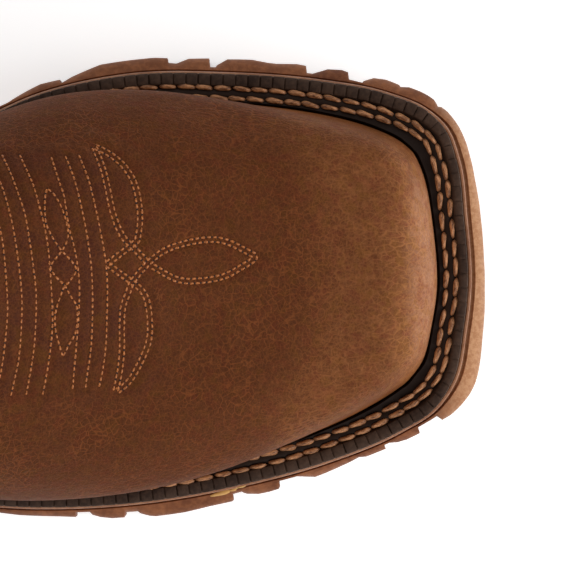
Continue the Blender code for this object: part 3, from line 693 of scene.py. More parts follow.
def thread(name, dark, light, plies, roughness, wear_and_shade=0.6):
    """Twisted thread: slanting plies along each stitch, its ends darkened as painted shade where
    they dip into the leather.
    """
    look = Look(name, dark, roughness, Specular_IOR_Level=0.45)
    uv = look.node("ShaderNodeUVMap", uv_map="thread").outputs[0]
    parts = look.node("ShaderNodeSeparateXYZ", {0: uv})
    slant = look.plus(look.times(parts.outputs[0], plies), parts.outputs[1])
    wave = look.math("SINE", look.times(slant, 2.0 * math.pi * 2.0))
    ridge = look.span(wave, -1.0, 1.0)
    turn = look.times(parts.outputs[1], 2.0 * math.pi)
    round_x = look.times(parts.outputs[0], 1.3)
    round_y = look.times(look.math("COSINE", turn), 0.9)
    round_z = look.times(look.math("SINE", turn), 0.9)
    round_place = look.node("ShaderNodeCombineXYZ", {0: round_x, 1: round_y, 2: round_z}).outputs[0]
    fibre = look.noise(3.2, 4.0, 0.75, round_place)
    share = look.plus(look.times(ridge, 0.35), look.span(fibre, 0.36, 0.66, 0.0, 0.8), clamp=True)
    along = look.math("FRACT", parts.outputs[0])
    middle = look.times(look.times(along, 4.0), look.math("SUBTRACT", 1.0, along))
    # Painted shade: each stitch darkens towards its ends, where it dips into the leather.
    share = look.times(share, look.span(middle, 0.1, 0.9, wear_and_shade, 1.0))
    look.colour(look.mix(share, dark, light))
    look.bump(look.plus(look.times(ridge, 0.5), fibre), 0.0001, 0.8)
    return look.material


# Leather made soft from the solids

def soft_mesh(name, levels):
    """Welded and rounded copy of a CAD node's mesh, with its sharp folds kept crisp."""
    bm = bmesh.new()
    bm.from_mesh(NODES[name].data)
    bmesh.ops.remove_doubles(bm, verts=bm.verts, dist=1e-6)
    bmesh.ops.join_triangles(bm, faces=bm.faces, angle_face_threshold=math.pi,
                             angle_shape_threshold=math.pi)
    crease = bm.edges.layers.float.new("crease_edge")
    for line in bm.edges:
        if len(line.link_faces) == 2 and line.calc_face_angle(0.0) > math.radians(60):
            line[crease] = 1.0
    mesh = bpy.data.meshes.new(name + "_cage")
    bm.to_mesh(mesh)
    bm.free()
    cage = add_object(name + "_cage", mesh)
    modifier = cage.modifiers.new("soft", "SUBSURF")
    modifier.levels = levels
    modifier.render_levels = levels
    bpy.context.view_layer.update()
    result = bpy.data.meshes.new_from_object(cage.evaluated_get(
        bpy.context.evaluated_depsgraph_get()))
    bpy.data.objects.remove(cage)
    return result


def soft_piece(name, levels, material):
    """Rounded leather piece in place of a CAD node."""
    mesh = soft_mesh(name, levels)
    mesh.materials.clear()
    mesh.materials.append(material)
    piece = add_object("soft_" + name, mesh)
    smooth(piece, 50)
    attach(piece, "root")
    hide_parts(name)
    return piece


def refine(piece, wanted, cuts):
    """Cut the faces that are wanted into a finer grid."""
    bm = bmesh.new()
    bm.from_mesh(piece.data)
    bm.normal_update()
    chosen = [face for face in bm.faces if wanted(face.calc_center_median(), face.normal)]
    lines = {line for face in chosen for line in face.edges}
    bmesh.ops.subdivide_edges(bm, edges=list(lines), cuts=cuts, use_grid_fill=True)
    bm.to_mesh(piece.data)
    bm.free()


def tree_of(piece):
    """Search tree of a piece's faces."""
    mesh = piece.data
    vertices = [v.co.copy() for v in mesh.vertices]
    return BVHTree.FromPolygons(vertices, [tuple(p.vertices) for p in mesh.polygons])


def ground(px, py):
    """Point at the level of the sole under a pixel of the photograph."""
    return Vector((LEFT_EDGE + px * PIXEL, (MIDDLE_ROW - py) * PIXEL, SOLE_LEVEL))


def under_pixel(tree, px, py):
    """Point and normal of a piece under a pixel of the photograph."""
    hit, normal, _, _ = tree.ray_cast(EYE, (ground(px, py) - EYE).normalized())
    return hit, normal


def met(pairs):
    """Those of the (point, normal) pairs that lie on a surface."""
    return [pair for pair in pairs if pair[0] is not None]


def line_on(tree, points):
    """Given line of pixels as points on the leather."""
    return [hit for hit, _ in met(under_pixel(tree, px, py) for px, py in curve_through(points))]


def side_line(points, distance):
    """Line of pixels moved sideways."""
    line = curve_through(points, 3)
    moved = []
    for i, point in enumerate(line):
        ahead = line[min(i + 1, len(line) - 1)] - line[max(i - 1, 0)]
        length = max(np.linalg.norm(ahead), 1e-6)
        moved.append(tuple(point + np.array((-ahead[1], ahead[0])) / length * distance))
    return moved


# Materials

LEATHER = vamp_leather()
LEG_LEATHER = plain_leather("leg_leather", rgb(72, 37, 15), rgb(92, 48, 20), rgb(118, 66, 32))
TRIM_LEATHER = plain_leather("trim_leather", rgb(78, 40, 16), rgb(100, 54, 24), rgb(122, 70, 34))
SOLE_RUBBER = rubber("sole_rubber", rgb(99, 55, 33), rgb(142, 88, 55), 0.6,
                     700.0, 0.00012, toe=rgb(182, 135, 98))
BEAD_RUBBER = rubber("bead_rubber", rgb(128, 82, 56), rgb(160, 112, 82), 0.5, 700.0, 0.0001)
# The welt's dark floor colour is painted shade beside the leather and between the stitch rows.
WELT_RUBBER = rubber("welt_rubber", rgb(48, 34, 27), rgb(78, 58, 46), 0.65,
                     900.0, 0.0001, floor=rgb(34, 22, 16))
INSOLE = rubber("insole_lining", rgb(150, 112, 78), rgb(178, 138, 100), 0.8, 1400.0, 0.0001)
# The light thread colours are partly the fibres' own colour and partly painted glints.
WELT_THREAD = thread("welt_thread", rgb(84, 43, 20), rgb(206, 144, 96), 0.4, 0.5)
FANCY_THREAD = thread("fancy_thread", rgb(104, 50, 15), rgb(214, 128, 60), 0.8, 0.4, wear_and_shade=0.15)
HOLE_SHADE = Look("needle_hole_shade", rgb(34, 17, 9), 0.9).material


# Upper and leg

def paint(piece, name, values):
    """Store one value for each vertex."""
    layer = piece.data.attributes.new(name, "FLOAT", "POINT")
    layer.data.foreach_set("value", np.asarray(values, dtype=np.float32))


def vectors(items, name):
    """One vector of each item of a mesh as an array."""
    found = np.zeros(len(items) * 3, dtype=np.float32)
    items.foreach_get(name, found)
    return found.reshape(-1, 3).astype(float)


def positions(piece):
    """Vertex positions as an array."""
    return vectors(piece.data.vertices, "co")


def move(piece, places):
    """Set the vertex positions."""
    piece.data.vertices.foreach_set("co", places.astype(np.float32).ravel())
    piece.data.update()


def nearest(points, places, reach):
    """Distance from each place to the nearest of the points, up to a reach."""
    tree = KDTree(len(points))
    for i, point in enumerate(points):
        tree.insert(point, i)
    tree.balance()
    found = np.full(len(places), reach)
    for i, place in enumerate(places):
        _, _, distance = tree.find(place)
        if distance < reach:
            found[i] = distance
    return found


def in_stitching(centre, normal):
    """Part of the vamp that carries the fancy stitching."""
    return 0.018 < centre.x < 0.102 and centre.z > 0.055 and normal.z > 0.2 and abs(centre.y) < 0.04


upper = soft_piece("upper", 2, LEATHER)
refine(upper, in_stitching, 4)
smooth(upper, 50)
tree = tree_of(upper)

stitch_lines = []
for points in WRINKLES + CHAIN:
    stitch_lines.append(line_on(tree, points))
for points in LEAVES:
    stitch_lines.append(line_on(tree, side_line(points, DOUBLE_ROW / 2)))
    stitch_lines.append(line_on(tree, side_line(points, -DOUBLE_ROW / 2)))

# The leather sinks along the stitched lines and swells beside them
PRESS_STEP = 0.0004
PRESS_DEPTH = 0.00030
PRESS_WIDTH = 0.0006
SWELL_HEIGHT = 0.00022
PRESS_REACH = 0.006
pressed = []
for line in stitch_lines:
    pressed.extend([spot for spot, _ in walk(line, PRESS_STEP)])

co = positions(upper)
no = vectors(upper.data.vertex_normals, "vector")
near = (co[:, 0] > 0.01) & (co[:, 0] < 0.11) & (co[:, 2] > 0.05) & (no[:, 2] > 0.1)
index = np.where(near)[0]
distance = nearest(pressed, co[index], PRESS_REACH)
depth = -PRESS_DEPTH * np.exp(-(distance / PRESS_WIDTH) ** 2)
depth = depth + SWELL_HEIGHT * ease(distance, 0.0, 0.0022)
fade = 1.0 - ease(distance, 0.0025, PRESS_REACH)
co[index] += no[index] * (depth * fade)[:, None]
move(upper, co)

base = np.array([seat(x) for x in co[:, 0]])
above = co[:, 2] - base
off_middle = ease(np.abs(co[:, 1] - 0.006), 0.010, 0.040)
# front: share of painted light on the toe's front slope, and of the painted highlight near its
# edge.
paint(upper, "front", 0.30 * ease(co[:, 0] + 0.012 * off_middle, 0.104, 0.124)
      + 0.70 * ease(co[:, 0], 0.126, 0.139) * (1.0 - 0.55 * off_middle))
paint(upper, "hem", (1.0 - ease(above, 0.008, 0.019)) * (1.0 - ease(co[:, 0], 0.11, 0.135)))
paint(upper, "side", 1.0 - ease(above, 0.026, 0.046))
paint(upper, "calm", (1.0 - ease(co[:, 0], 0.062, 0.082))
      * (1.0 - ease(np.abs(co[:, 1] - 0.003), 0.024, 0.036)) * ease(co[:, 0], -0.01, 0.02))

spots = []
marks = []
for line in stitch_lines:
    for point, direction in walk(line, FANCY_PITCH):
        normal = tree.find_nearest(Vector(point))[1]
        spots.append((Vector(point) - normal * FANCY_DEPTH, direction, normal))
    for point, _ in walk(line, FANCY_PITCH, 0.0):
        normal = tree.find_nearest(Vector(point))[1]
        marks.append((Vector(point) - normal * HOLE_DEPTH, normal))
stitch_row("fancy_stitches", spots, FANCY_STITCH, FANCY_THREAD, rings=7, sides=6, blunt=2.0)
holes("needle_hole_shades", marks, HOLE_SHADE)

# Upright axes that the leg and the heel are looked at from
LEG_AXIS = (-0.086, 0.0025)
HEEL_AXIS = (-0.100, 0.0025)
LEG_CREASES = (
    # turn from the toe in degrees, half spread in degrees, height, sag to its ends, out, half width
    (180, 95, 0.176, -0.014, -0.0016, 0.0050),
    (172, 90, 0.188, -0.012, 0.0010, 0.0050),
    (188, 70, 0.199, -0.010, -0.0012, 0.0045),
    (20, 75, 0.168, 0.016, -0.0014, 0.0050),
    (8, 60, 0.181, 0.014, 0.0009, 0.0045),
    (-25, 65, 0.214, 0.010, -0.0008, 0.0060),
    (120, 55, 0.232, -0.008, -0.0007, 0.0070),
)
FLEX_CREASES = (
    # along, across, half length, sweep back to its ends, up, half width
    (0.0205, -0.002, 0.030, -0.007, -0.0008, 0.0032),
    (0.0135, 0.001, 0.032, -0.008, 0.0006, 0.0034),
    (0.0055, -0.003, 0.033, -0.008, -0.0009, 0.0036),
    (-0.0030, 0.000, 0.030, -0.009, 0.0006, 0.0036),
)


def crease_leg(piece):
    """Soft folds round the ankle and the leg, in both faces of the leather."""
    co = positions(piece)
    out = co[:, :2] - np.array(LEG_AXIS)
    out /= np.linalg.norm(out, axis=1)[:, None]
    turns = np.degrees(np.arctan2(out[:, 1], out[:, 0]))
    for turn, spread, height, sag, push, half in LEG_CREASES:
        share = (turns - turn + 180.0) % 360.0 - 180.0
        share = np.clip(np.abs(share / spread), 0.0, 1.0)
        away = (co[:, 2] - height - sag * share ** 2) / half
        co[:, :2] += out * (push * (1.0 - share ** 2) ** 2 * np.exp(-away ** 2))[:, None]
    move(piece, co)


def crease_vamp(piece):
    """Soft folds where the foot bends, behind the fancy stitching."""
    co = positions(piece)
    high = ease(co[:, 2], 0.045, 0.058)
    for along, across, half_length, sweep, push, half in FLEX_CREASES:
        share = np.clip(np.abs((co[:, 1] - across) / half_length), 0.0, 1.0)
        away = (co[:, 0] - along - sweep * share ** 2) / half
        co[:, 2] += push * high * (1.0 - share ** 2) ** 2 * np.exp(-away ** 2)
    move(piece, co)


crease_vamp(upper)
shaft = soft_piece("shaft", 2, LEG_LEATHER)
crease_leg(shaft)
leg_tree = tree_of(shaft)
SEAM_HALF = 0.0030
SEAM_END = 0.001
SEAM_STEPS = 90
SEAM_ROW = 0.0050
SEAM_SECTION = (
    # across as a share of SEAM_HALF, height
    (-1.15, -0.0010),
    (-1.00, 0.0003),
    (-0.80, 0.0013),
    (-0.40, 0.0018),
    (0.00, 0.0019),
    (0.40, 0.0018),
    (0.80, 0.0013),
    (1.00, 0.0003),
    (1.15, -0.0010),
)


def side_hit(found_tree, x, z, side):
    """Point and normal of a piece seen from one side at x and z."""
    hit, normal, _, _ = found_tree.ray_cast(Vector((x, side * 0.2, z)), Vector((0, -side, 0)))
    return hit, normal


def seam_line(name, side):
    """Middle line of a side seam, laid on the soft leg."""
    co = positions(NODES[name])
    low = co[:, 2].min()
    high = co[:, 2].max()
    curve = np.polyfit(co[:, 2], co[:, 0], 5)
    return met(side_hit(leg_tree, float(np.polyval(curve, z)), float(z), side)
               for z in np.linspace(low + SEAM_END, high - SEAM_END, SEAM_STEPS))


def beside(line, i, across):
    """Point and normal of the leg at a distance to one side of a seam's middle line."""
    before = line[max(i - 2, 0)][0]
    after = line[min(i + 2, len(line) - 1)][0]
    hit, normal = line[i]
    sideways = normal.cross(after - before).normalized()
    spot, turned, _, _ = leg_tree.find_nearest(hit + sideways * across + normal * 0.002)
    return spot, turned


def soft_seam(name, side):
    """Rounded seam that follows the soft leg, with its middle line."""
    line = seam_line(name, side)
    vertices = []
    for i in range(len(line)):
        for share, height in SEAM_SECTION:
            spot, normal = beside(line, i, share * SEAM_HALF)
            vertices.append(spot + normal * height)
    width = len(SEAM_SECTION)
    faces = []
    for i in range(len(line) - 1):
        for k in range(width - 1):
            a = i * width + k
            faces.append((a, a + 1, a + width + 1, a + width))
        a = i * width
        faces.append((a, a + width, a + 2 * width - 1, a + width - 1))
    faces.append(tuple(range(width)))
    faces.append(tuple(range((len(line) - 1) * width, len(line) * width)))
    piece = mesh_object("soft_" + name, vertices, faces, TRIM_LEATHER)
    outward(piece)
    smooth(piece, 60)
    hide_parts(name)
    return line


def sew(line):
    """Stitch spots along a line of (point, normal) pairs."""
    found = []
    points = [tuple(point) for point, _ in line]
    for point, direction in walk(points, LEG_PITCH):
        i = int(np.argmin([(Vector(point) - other).length for other, _ in line]))
        found.append((Vector(point) - line[i][1] * LEG_DEPTH, direction, line[i][1]))
    return found


SIDES = (("medial", 1), ("lateral", -1))
leg_spots = []
for side_name, side in SIDES:
    line = soft_seam("side_seam_" + side_name, side)
    for across in (-SEAM_ROW, SEAM_ROW):
        beside_line = [beside(line, i, across) for i in range(len(line))]
        leg_spots.extend(sew(beside_line))


# How far the stitched rows lie below an edge
COLLAR_ROWS = (0.0040, 0.0065)
UPPER_ROW = 0.0035
COUNTER_ROWS = (0.0030, 0.0055)

# The counter: how far its edge lies over its line, where the rows run in degrees from the toe,
# and the height that the search for them starts at
COUNTER_RAISE = 0.006
COUNTER_FROM = 62
COUNTER_TO = 298
COUNTER_STEPS = 160
COUNTER_START = 0.085


def outer_hit(found_tree, centre, turn, z):
    """Point and normal of a piece seen from outside, looking at an upright axis."""
    out = Vector((math.cos(turn), math.sin(turn), 0.0))
    start = Vector((centre[0], centre[1], z)) + out * 0.3
    hit, normal, _, _ = found_tree.ray_cast(start, -out)
    return hit, normal


def rim_heights(piece, centre, bins):
    """Height of a piece's top edge in each direction from an upright axis."""
    co = positions(piece)
    turns = np.arctan2(co[:, 1] - centre[1], co[:, 0] - centre[0])
    number = ((turns + math.pi) / (2.0 * math.pi) * bins).astype(int) % bins
    heights = np.array([co[number == k, 2].max() for k in range(bins)])
    around = np.concatenate((heights[-2:], heights, heights[:2]))
    return np.convolve(around, np.ones(5) / 5, "valid")


def sew_rim(piece, found_tree, centre, drop, bins=48):
    """Stitch spots on the outside of a piece, below its top edge."""
    heights = rim_heights(piece, centre, bins)
    line = []
    for k in range(4 * bins + 1):
        place = k / 4.0 - 0.5
        height = float(np.interp(place % bins, np.arange(bins + 1),
                                 np.append(heights, heights[0])))
        turn = (place + 0.5) / bins * 2.0 * math.pi - math.pi
        line.append(outer_hit(found_tree, centre, turn, height - drop))
    return sew(met(line))


for drop in COLLAR_ROWS:
    leg_spots.extend(sew_rim(shaft, leg_tree, LEG_AXIS, drop))


def lay_on(piece, found_tree, reach, gap):
    """Move the points of a piece that lie within reach of a surface to a small gap from it."""
    for vertex in piece.data.vertices:
        hit, normal, _, away = found_tree.find_nearest(vertex.co, reach)
        if hit is not None and away > gap:
            vertex.co = hit + normal * gap


# The straps: reach within which they are laid on the leg, how far off, and their stitching
STRAP_LAID = 0.0014
STRAP_GAP = 0.0001
STRAP_FOOT = 0.020
STRAP_MARGIN = 0.0025
STRAP_LOW_ROW = 0.003
STRAP_TOP_ROW = 0.024
STRAP_STEPS = 24
for side_name, side in SIDES:
    strap = soft_piece("pull_strap_" + side_name, 2, TRIM_LEATHER)
    lay_on(strap, leg_tree, STRAP_LAID, STRAP_GAP)
    strap_tree = tree_of(strap)
    co = positions(strap)
    low = co[:, 2].min()
    foot = co[co[:, 2] < low + STRAP_FOOT]
    left = foot[:, 0].min() + STRAP_MARGIN
    right = foot[:, 0].max() - STRAP_MARGIN
    top = co[:, 2].max() - STRAP_TOP_ROW
    bottom = low + STRAP_LOW_ROW
    for corners in (((left, top), (left, bottom), (right, bottom), (right, top)),
                    ((left, low + STRAP_FOOT), (right, low + STRAP_FOOT))):
        line = []
        for (x0, z0), (x1, z1) in zip(corners, corners[1:]):
            for share in np.linspace(0.0, 1.0, STRAP_STEPS):
                line.append(side_hit(strap_tree, x0 + (x1 - x0) * share, z0 + (z1 - z0) * share,
                                     side))
        leg_spots.extend(sew(met(line)))

leg_spots.extend(sew_rim(upper, tree_of(upper), LEG_AXIS, UPPER_ROW))
COUNTER_LINE = np.array((
    # along, height of the counter's edge as a share of INSTEP_RISE
    (-0.48, 0.480),
    (-0.42, 0.460),
    (-0.35, 0.400),
    (-0.28, 0.300),
    (-0.22, 0.190),
    (-0.18, 0.100),
))
counter_tree = tree_of(NODES["heel_counter"])
for drop in COUNTER_ROWS:
    line = []
    for turn in np.linspace(math.radians(COUNTER_FROM), math.radians(COUNTER_TO), COUNTER_STEPS):
        z = COUNTER_START
        for _ in range(4):
            hit, normal = outer_hit(counter_tree, HEEL_AXIS, float(turn), z)
            if hit is None:
                break
            rise = float(np.interp(hit.x / SOLE_LENGTH, COUNTER_LINE[:, 0], COUNTER_LINE[:, 1]))
            z = SOLE_STACK + HEEL_RISE + COUNTER_RAISE - drop + INSTEP_RISE * rise
        line.append((hit, normal))
    leg_spots.extend(sew(met(line)))
stitch_row("leg_stitches", leg_spots, LEG_STITCH, FANCY_THREAD, rings=6, sides=6)


def dress(name, material):
    """Give a CAD node its material."""
    piece = NODES[name]
    piece.data.materials.clear()
    piece.data.materials.append(material)


dress("heel_counter", TRIM_LEATHER)
dress("heel", SOLE_RUBBER)
rounding = NODES["heel"].modifiers.new("rounded_edges", "BEVEL")
rounding.width = RUBBER_ROUNDING
rounding.segments = 2
rounding.limit_method = "ANGLE"
rounding.angle_limit = math.radians(40)
dress("insole", INSOLE)


# Welt

RIB_PITCH = 0.0031
WELT_INSET = 0.0005
WELT_PROFILE = (
    # part (0 leather side, 1 stitched floor, 2 outer edge), outward offset, height, share left
    # unshaded by the welt floor's painted shade
    (0, 0.0000, 0.0007, 0.0),
    (0, 0.0000, 0.0036, 0.0),
    (0, 0.0003, 0.0040, 0.0),
    (0, 0.0008, 0.0038, 0.0),
    (1, -0.0063, 0.0034, 0.05),
    (1, -0.0057, 0.0037, 0.2),
    (1, -0.0049, 0.0039, 0.2),
    (1, -0.0043, 0.0037, 0.2),
    (1, -0.0038, 0.0033, 0.1),
    (1, -0.0032, 0.0038, 0.4),
    (1, -0.0029, 0.0046, 1.0),
    (1, -0.0025, 0.0048, 1.0),
    (2, -0.0006, 0.0047, 1.0),
    (2, -0.0001, 0.0044, 1.0),
    (2, 0.0000, 0.0039, 0.9),
    (2, 0.0000, 0.0007, 0.6),
)
SWELL_ROWS = np.array(WELT_SWELL)

# Points of the profile that a notch between two ribs cuts down, and those it sets back
RIB_POINTS = (10, 11, 12, 13, 14)
RIB_FACE = (13, 14)
NOTCH_FLOOR = 0.0040
TOE_NOTCH = 0.45
NOTCHES = (
    # along a rib as a share of its pitch, depth of the notch there
    (0.0, 1.0),
    (0.04, 0.8),
    (0.08, 0.15),
    (0.16, 0.0),
    (0.5, 0.04),
    (0.84, 0.0),
    (0.92, 0.15),
    (0.96, 0.8),
)


def swell(place):
    """How much wider the welt is at a place."""
    return float(np.interp(place % len(EDGE), SWELL_ROWS[:, 0], SWELL_ROWS[:, 1]))


def welt_inset(place):
    """How far the stitched floor of the welt stands back from the outline."""
    return WELT_INSET - 0.0003 * toe_share(edge(place)[0])


def corner_share(place):
    """1 where the leather stands furthest back from the outline, at the toe's corners."""
    return swell(place) / SWELL_ROWS[:, 1].max()


def rib_inset(place):
    """How far the outer edge of the welt stands back from the outline."""
    return WELT_INSET + 0.0005 * toe_share(edge(place)[0])


def welt_section(place, notch):
    """Section of the welt, with the rib band cut down by notch."""
    section = []
    insets = (WELT_WIDTH * (1.0 + swell(place)), welt_inset(place), rib_inset(place))
    for number, (part, out, height, _) in enumerate(WELT_PROFILE):
        if number in RIB_POINTS:
            height -= (height - NOTCH_FLOOR) * notch
        if number in RIB_FACE:
            out -= 0.0003 * notch
        section.append(on_seat(place, out - insets[part], height))
    return section


rib_lengths = lengths_round(0.0, 0.17)
rib_count = int(round(rib_lengths[-1] / RIB_PITCH))
sections = []
for i in range(rib_count):
    depth = 0.62 + 0.3 * math.sin(i * 2.3) * math.sin(i * 0.9)
    for share, notch in NOTCHES:
        length = rib_lengths[-1] * (i + share) / rib_count
        place = float(np.interp(length, rib_lengths, FINE_PLACES))
        weaker = 1.0 - TOE_NOTCH * toe_share(edge(place)[0])
        sections.append(welt_section(place, notch * depth * weaker))
welt = band("ribbed_welt", sections, WELT_RUBBER)
smooth(welt, 38)
# Painted shade on the welt: darkest beside the leather and on the stitched floor, little on the
# ribs.
paint(welt, "unshaded", [row[3] for row in WELT_PROFILE] * len(sections))
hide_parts("welt")


def round_boot(out, shift, corner):
    """Spots of a stitched row, further in at the toe's corners: point, direction and up."""
    lengths = lengths_round(out, 0.07)
    count = int(round(lengths[-1] / WELT_PITCH))
    spots = []
    for i in range(count):
        length = lengths[-1] * (i + shift + 0.04 * math.sin(i * 1.9)) / count
        place = float(np.interp(length, lengths, FINE_PLACES))
        after = place + 0.02
        here, there = (
            Vector(on_seat(at, out - welt_inset(at) - corner * corner_share(at), ROW_HEIGHT))
            for at in (place, after))
        ahead = there - here
        up = Vector((0, 0, 1)) - ahead.normalized() * ahead.normalized().z
        spots.append((here, ahead, up))
    return spots


ROW_HEIGHT = 0.0041
ROW_SLANT = -5.0
WELT_ROWS = (
    # name, outward offset, shift along as a share of a stitch, further in at the toe's corners
    ("welt_stitches_outer", -0.0034, 0.0, 0.0011),
    ("welt_stitches_inner", -0.0060, 0.4, 0.0005),
)
for name, out, shift, corner in WELT_ROWS:
    stitch_row(name, round_boot(out, shift, corner), WELT_STITCH, WELT_THREAD, slant=ROW_SLANT,
               rings=13, sides=12)


# Edge of the midsole and the outsole

BEAD_STEPS = 900
SOLE_STEPS = 620
TREAD_STEPS = 200


def even_places(count):
    """Places at an even walk round the boot."""
    return [float(np.interp(EDGE_LENGTHS[-1] * i / count, EDGE_LENGTHS, FINE_PLACES))
            for i in range(count)]


BEAD = (
    # outward offset, height above the seat
    (-0.0040, 0.0004),
    (-0.0012, 0.0004),
    (-0.0006, 0.0007),
    (-0.0002, 0.0005),
    (0.0000, 0.0000),
    (0.0001, -0.0008),
    (0.0000, -0.0016),
    (0.0000, -0.0044),
    (-0.0040, -0.0044),
)
sections = [[on_seat(place, out, height) for out, height in BEAD]
            for place in even_places(BEAD_STEPS)]
bead = band("midsole_bead", sections, BEAD_RUBBER)
smooth(bead, 50)
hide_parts("midsole")


FINE_EDGE = np.array([edge(place) for place in FINE_PLACES])


def rim_spot(px, py):
    """Place and outward reach, from the welt's edge, of a point of the rim."""
    spot = np.array(ground(px, py))[:2]
    start = FINE_EDGE[:-1]
    step = FINE_EDGE[1:] - start
    share = np.clip(((spot - start) * step).sum(1) / (step ** 2).sum(1), 0.0, 1.0)
    foot = start + step * share[:, None]
    gap = spot - foot
    i = int(np.argmin((gap ** 2).sum(1)))
    place = FINE_PLACES[i] + share[i] * (FINE_PLACES[i + 1] - FINE_PLACES[i])
    return place, float(np.linalg.norm(gap[i]))


RIM_STEP = 0.0004


def rim_line():
    """Place, reach and stands along the whole rim, in the order of the places."""
    toe_reach = rim_spot(*BIG_TOE_RIM[0][:2])[1]
    rows = [(0.0, toe_reach, 1)]
    for px, py, stands in BIG_TOE_RIM[1:]:
        place, reach = rim_spot(px, py)
        rows.append((max(place, rows[-1][0] + RIM_STEP), reach, stands))
    rows.append((rows[-1][0] + 0.05, WAIST_REACH, 0))
    rows.append((rim_spot(*LITTLE_TOE_RIM[0][:2])[0] - 0.05, WAIST_REACH, 0))
    for px, py, stands in LITTLE_TOE_RIM:
        place, reach = rim_spot(px, py)
        rows.append((max(place, rows[-1][0] + RIM_STEP), reach, stands))
    rows.append((float(len(EDGE)), toe_reach, 1))
    return np.array(rows)


RIM = rim_line()


def edge_state(place):
    """Reach of the sole edge at a place, and whether a lug stands there."""
    reach = float(np.interp(place, RIM[:, 0], RIM[:, 1]))
    i = int(np.searchsorted(RIM[:, 0], place, side="right")) - 1
    i = min(max(i, 0), len(RIM) - 2)
    return reach, bool(RIM[i, 2] and RIM[i + 1, 2])


def sole_places():
    """Places round the boot, closer together where the rim steps in and out."""
    found = set(np.round(even_places(SOLE_STEPS), 5))
    for place in RIM[1:-1, 0]:
        found.add(round(place, 5))
        found.add(round(place - RIM_STEP / 4, 5))
        found.add(round(place + RIM_STEP / 4, 5))
    return sorted(found)


LIP_WIDTH = 0.0008
LIP_HEIGHT = 0.0009


def sole_section(place):
    """Section of the sole edge: groove beside the midsole, raised lip, sloping wall, tread."""
    reach, lug = edge_state(place)
    x = edge(place)[0]
    toe = toe_share(x)
    top = outsole_top(x)
    low = toe_spring(x) if lug else top - OUTSOLE_THICKNESS
    groove = 0.0002 + 0.0005 * toe
    lip = top + 0.0013 + 0.0004 * toe
    slope = 0.0030 + 0.0036 * toe
    run = max(reach - groove - LIP_WIDTH, 0.0001)
    wall = groove + LIP_WIDTH
    rows = (
        (-0.0030, lip - LIP_HEIGHT),
        (-0.0002, lip - LIP_HEIGHT),
        (groove, lip - LIP_HEIGHT),
        (groove + 0.0001, lip - 0.0003),
        (groove + 0.0004, lip),
        (wall, lip - 0.0003),
        (wall + run * 0.45, lip - 0.0004 - slope * 0.22),
        (wall + run * 0.82, lip - 0.0004 - slope * 0.58),
        (wall + run * 0.97, lip - 0.0004 - slope),
        (wall + run, lip - 0.0012 - slope),
        (reach, low + 0.0013),
        (reach - 0.0003, low + 0.0004),
        (reach - 0.0008, low),
        (-0.0030, low),
    )
    section = []
    for out, z in rows:
        px, py = edge(place, out)
        section.append((px, py, max(z, low)))
    return section


def block(bm, outline, low, high):
    """Tread block: points of its outline, with its tread and its root as heights over x."""
    lower = [bm.verts.new((x, y, low(x))) for x, y in outline]
    upper_row = [bm.verts.new((x, y, high(x))) for x, y in outline]
    count = len(outline)
    for i in range(count):
        j = (i + 1) % count
        bm.faces.new((lower[i], lower[j], upper_row[j], upper_row[i]))
    bm.faces.new(upper_row)
    tread = bm.faces.new(lower)
    bmesh.ops.bevel(bm, geom=list(tread.edges), offset=RUBBER_ROUNDING, segments=2,
                    affect="EDGES", profile=0.5)


MIDDLE_LUGS = (
    # along, across, half length, half width
    (0.140, -0.020, 0.018, 0.150),
    (0.195, -0.010, 0.018, 0.195),
    (0.250, 0.000, 0.018, 0.205),
    (0.305, 0.015, 0.018, 0.190),
    (0.360, 0.030, 0.018, 0.150),
    (0.410, 0.045, 0.016, 0.120),
)


def outsole_base(x):
    """Underside of the outsole between its lugs."""
    return outsole_top(x) - OUTSOLE_THICKNESS


def bar_outline(start, end, depth):
    """Outline of a bar that runs in from the rim between two places."""
    places = np.linspace(start, end, 5)
    outline = [tuple(edge(place, -0.0028)) for place in places]
    outline += [tuple(edge(place, -depth)) for place in places[::-1]]
    return outline


def make_tread():
    """Underside of the outsole with its bars and middle lugs."""
    bm = bmesh.new()
    row = [bm.verts.new((*edge(place, -0.0029), outsole_base(edge(place)[0]) + 0.0002))
           for place in even_places(TREAD_STEPS)]
    left = 0
    right = len(row) - 1
    while right - left > 1:
        if row[left + 1].co.x > row[right - 1].co.x:
            bm.faces.new((row[left], row[left + 1], row[right]))
            left += 1
        else:
            bm.faces.new((row[left], row[right - 1], row[right]))
            right -= 1
    starts = []
    for i in range(len(RIM) - 1):
        stands = RIM[i, 2] and RIM[i + 1, 2]
        before = i > 0 and RIM[i - 1, 2] and RIM[i, 2]
        if stands and not before:
            starts.append([RIM[i, 0], RIM[i + 1, 0]])
        elif stands:
            starts[-1][1] = RIM[i + 1, 0]
    for start, end in starts:
        x = edge((start + end) / 2)[0]
        if end - start > 2.0:
            continue
        depth = LUG_BAR if x < 0.135 else LUG_BAR / 2
        block(bm, bar_outline(start, end, depth), toe_spring, outsole_top)
    for along, across, half_length, half_width in MIDDLE_LUGS:
        x0 = along * SOLE_LENGTH
        y0 = across * BALL_WIDTH
        dx = half_length * SOLE_LENGTH
        dy = half_width * BALL_WIDTH
        corners = ((-dx, -dy), (0.0, -dy), (dx, 0.0), (0.0, dy), (-dx, dy), (-dx * 0.4, 0.0))
        block(bm, [(x0 + cx, y0 + cy) for cx, cy in corners], toe_spring, outsole_top)
    bmesh.ops.recalc_face_normals(bm, faces=bm.faces)
    mesh = bpy.data.meshes.new("tread")
    bm.to_mesh(mesh)
    bm.free()
    mesh.materials.append(SOLE_RUBBER)
    piece = add_object("tread", mesh)
    smooth(piece, 40)
    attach(piece, "root")
    return piece


skin = band("sole_edge", [sole_section(place) for place in sole_places()], SOLE_RUBBER)
smooth(skin, 40)
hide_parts("outsole")
make_tread()


# Dabs of dried glue at the rim, in the photograph's pixels

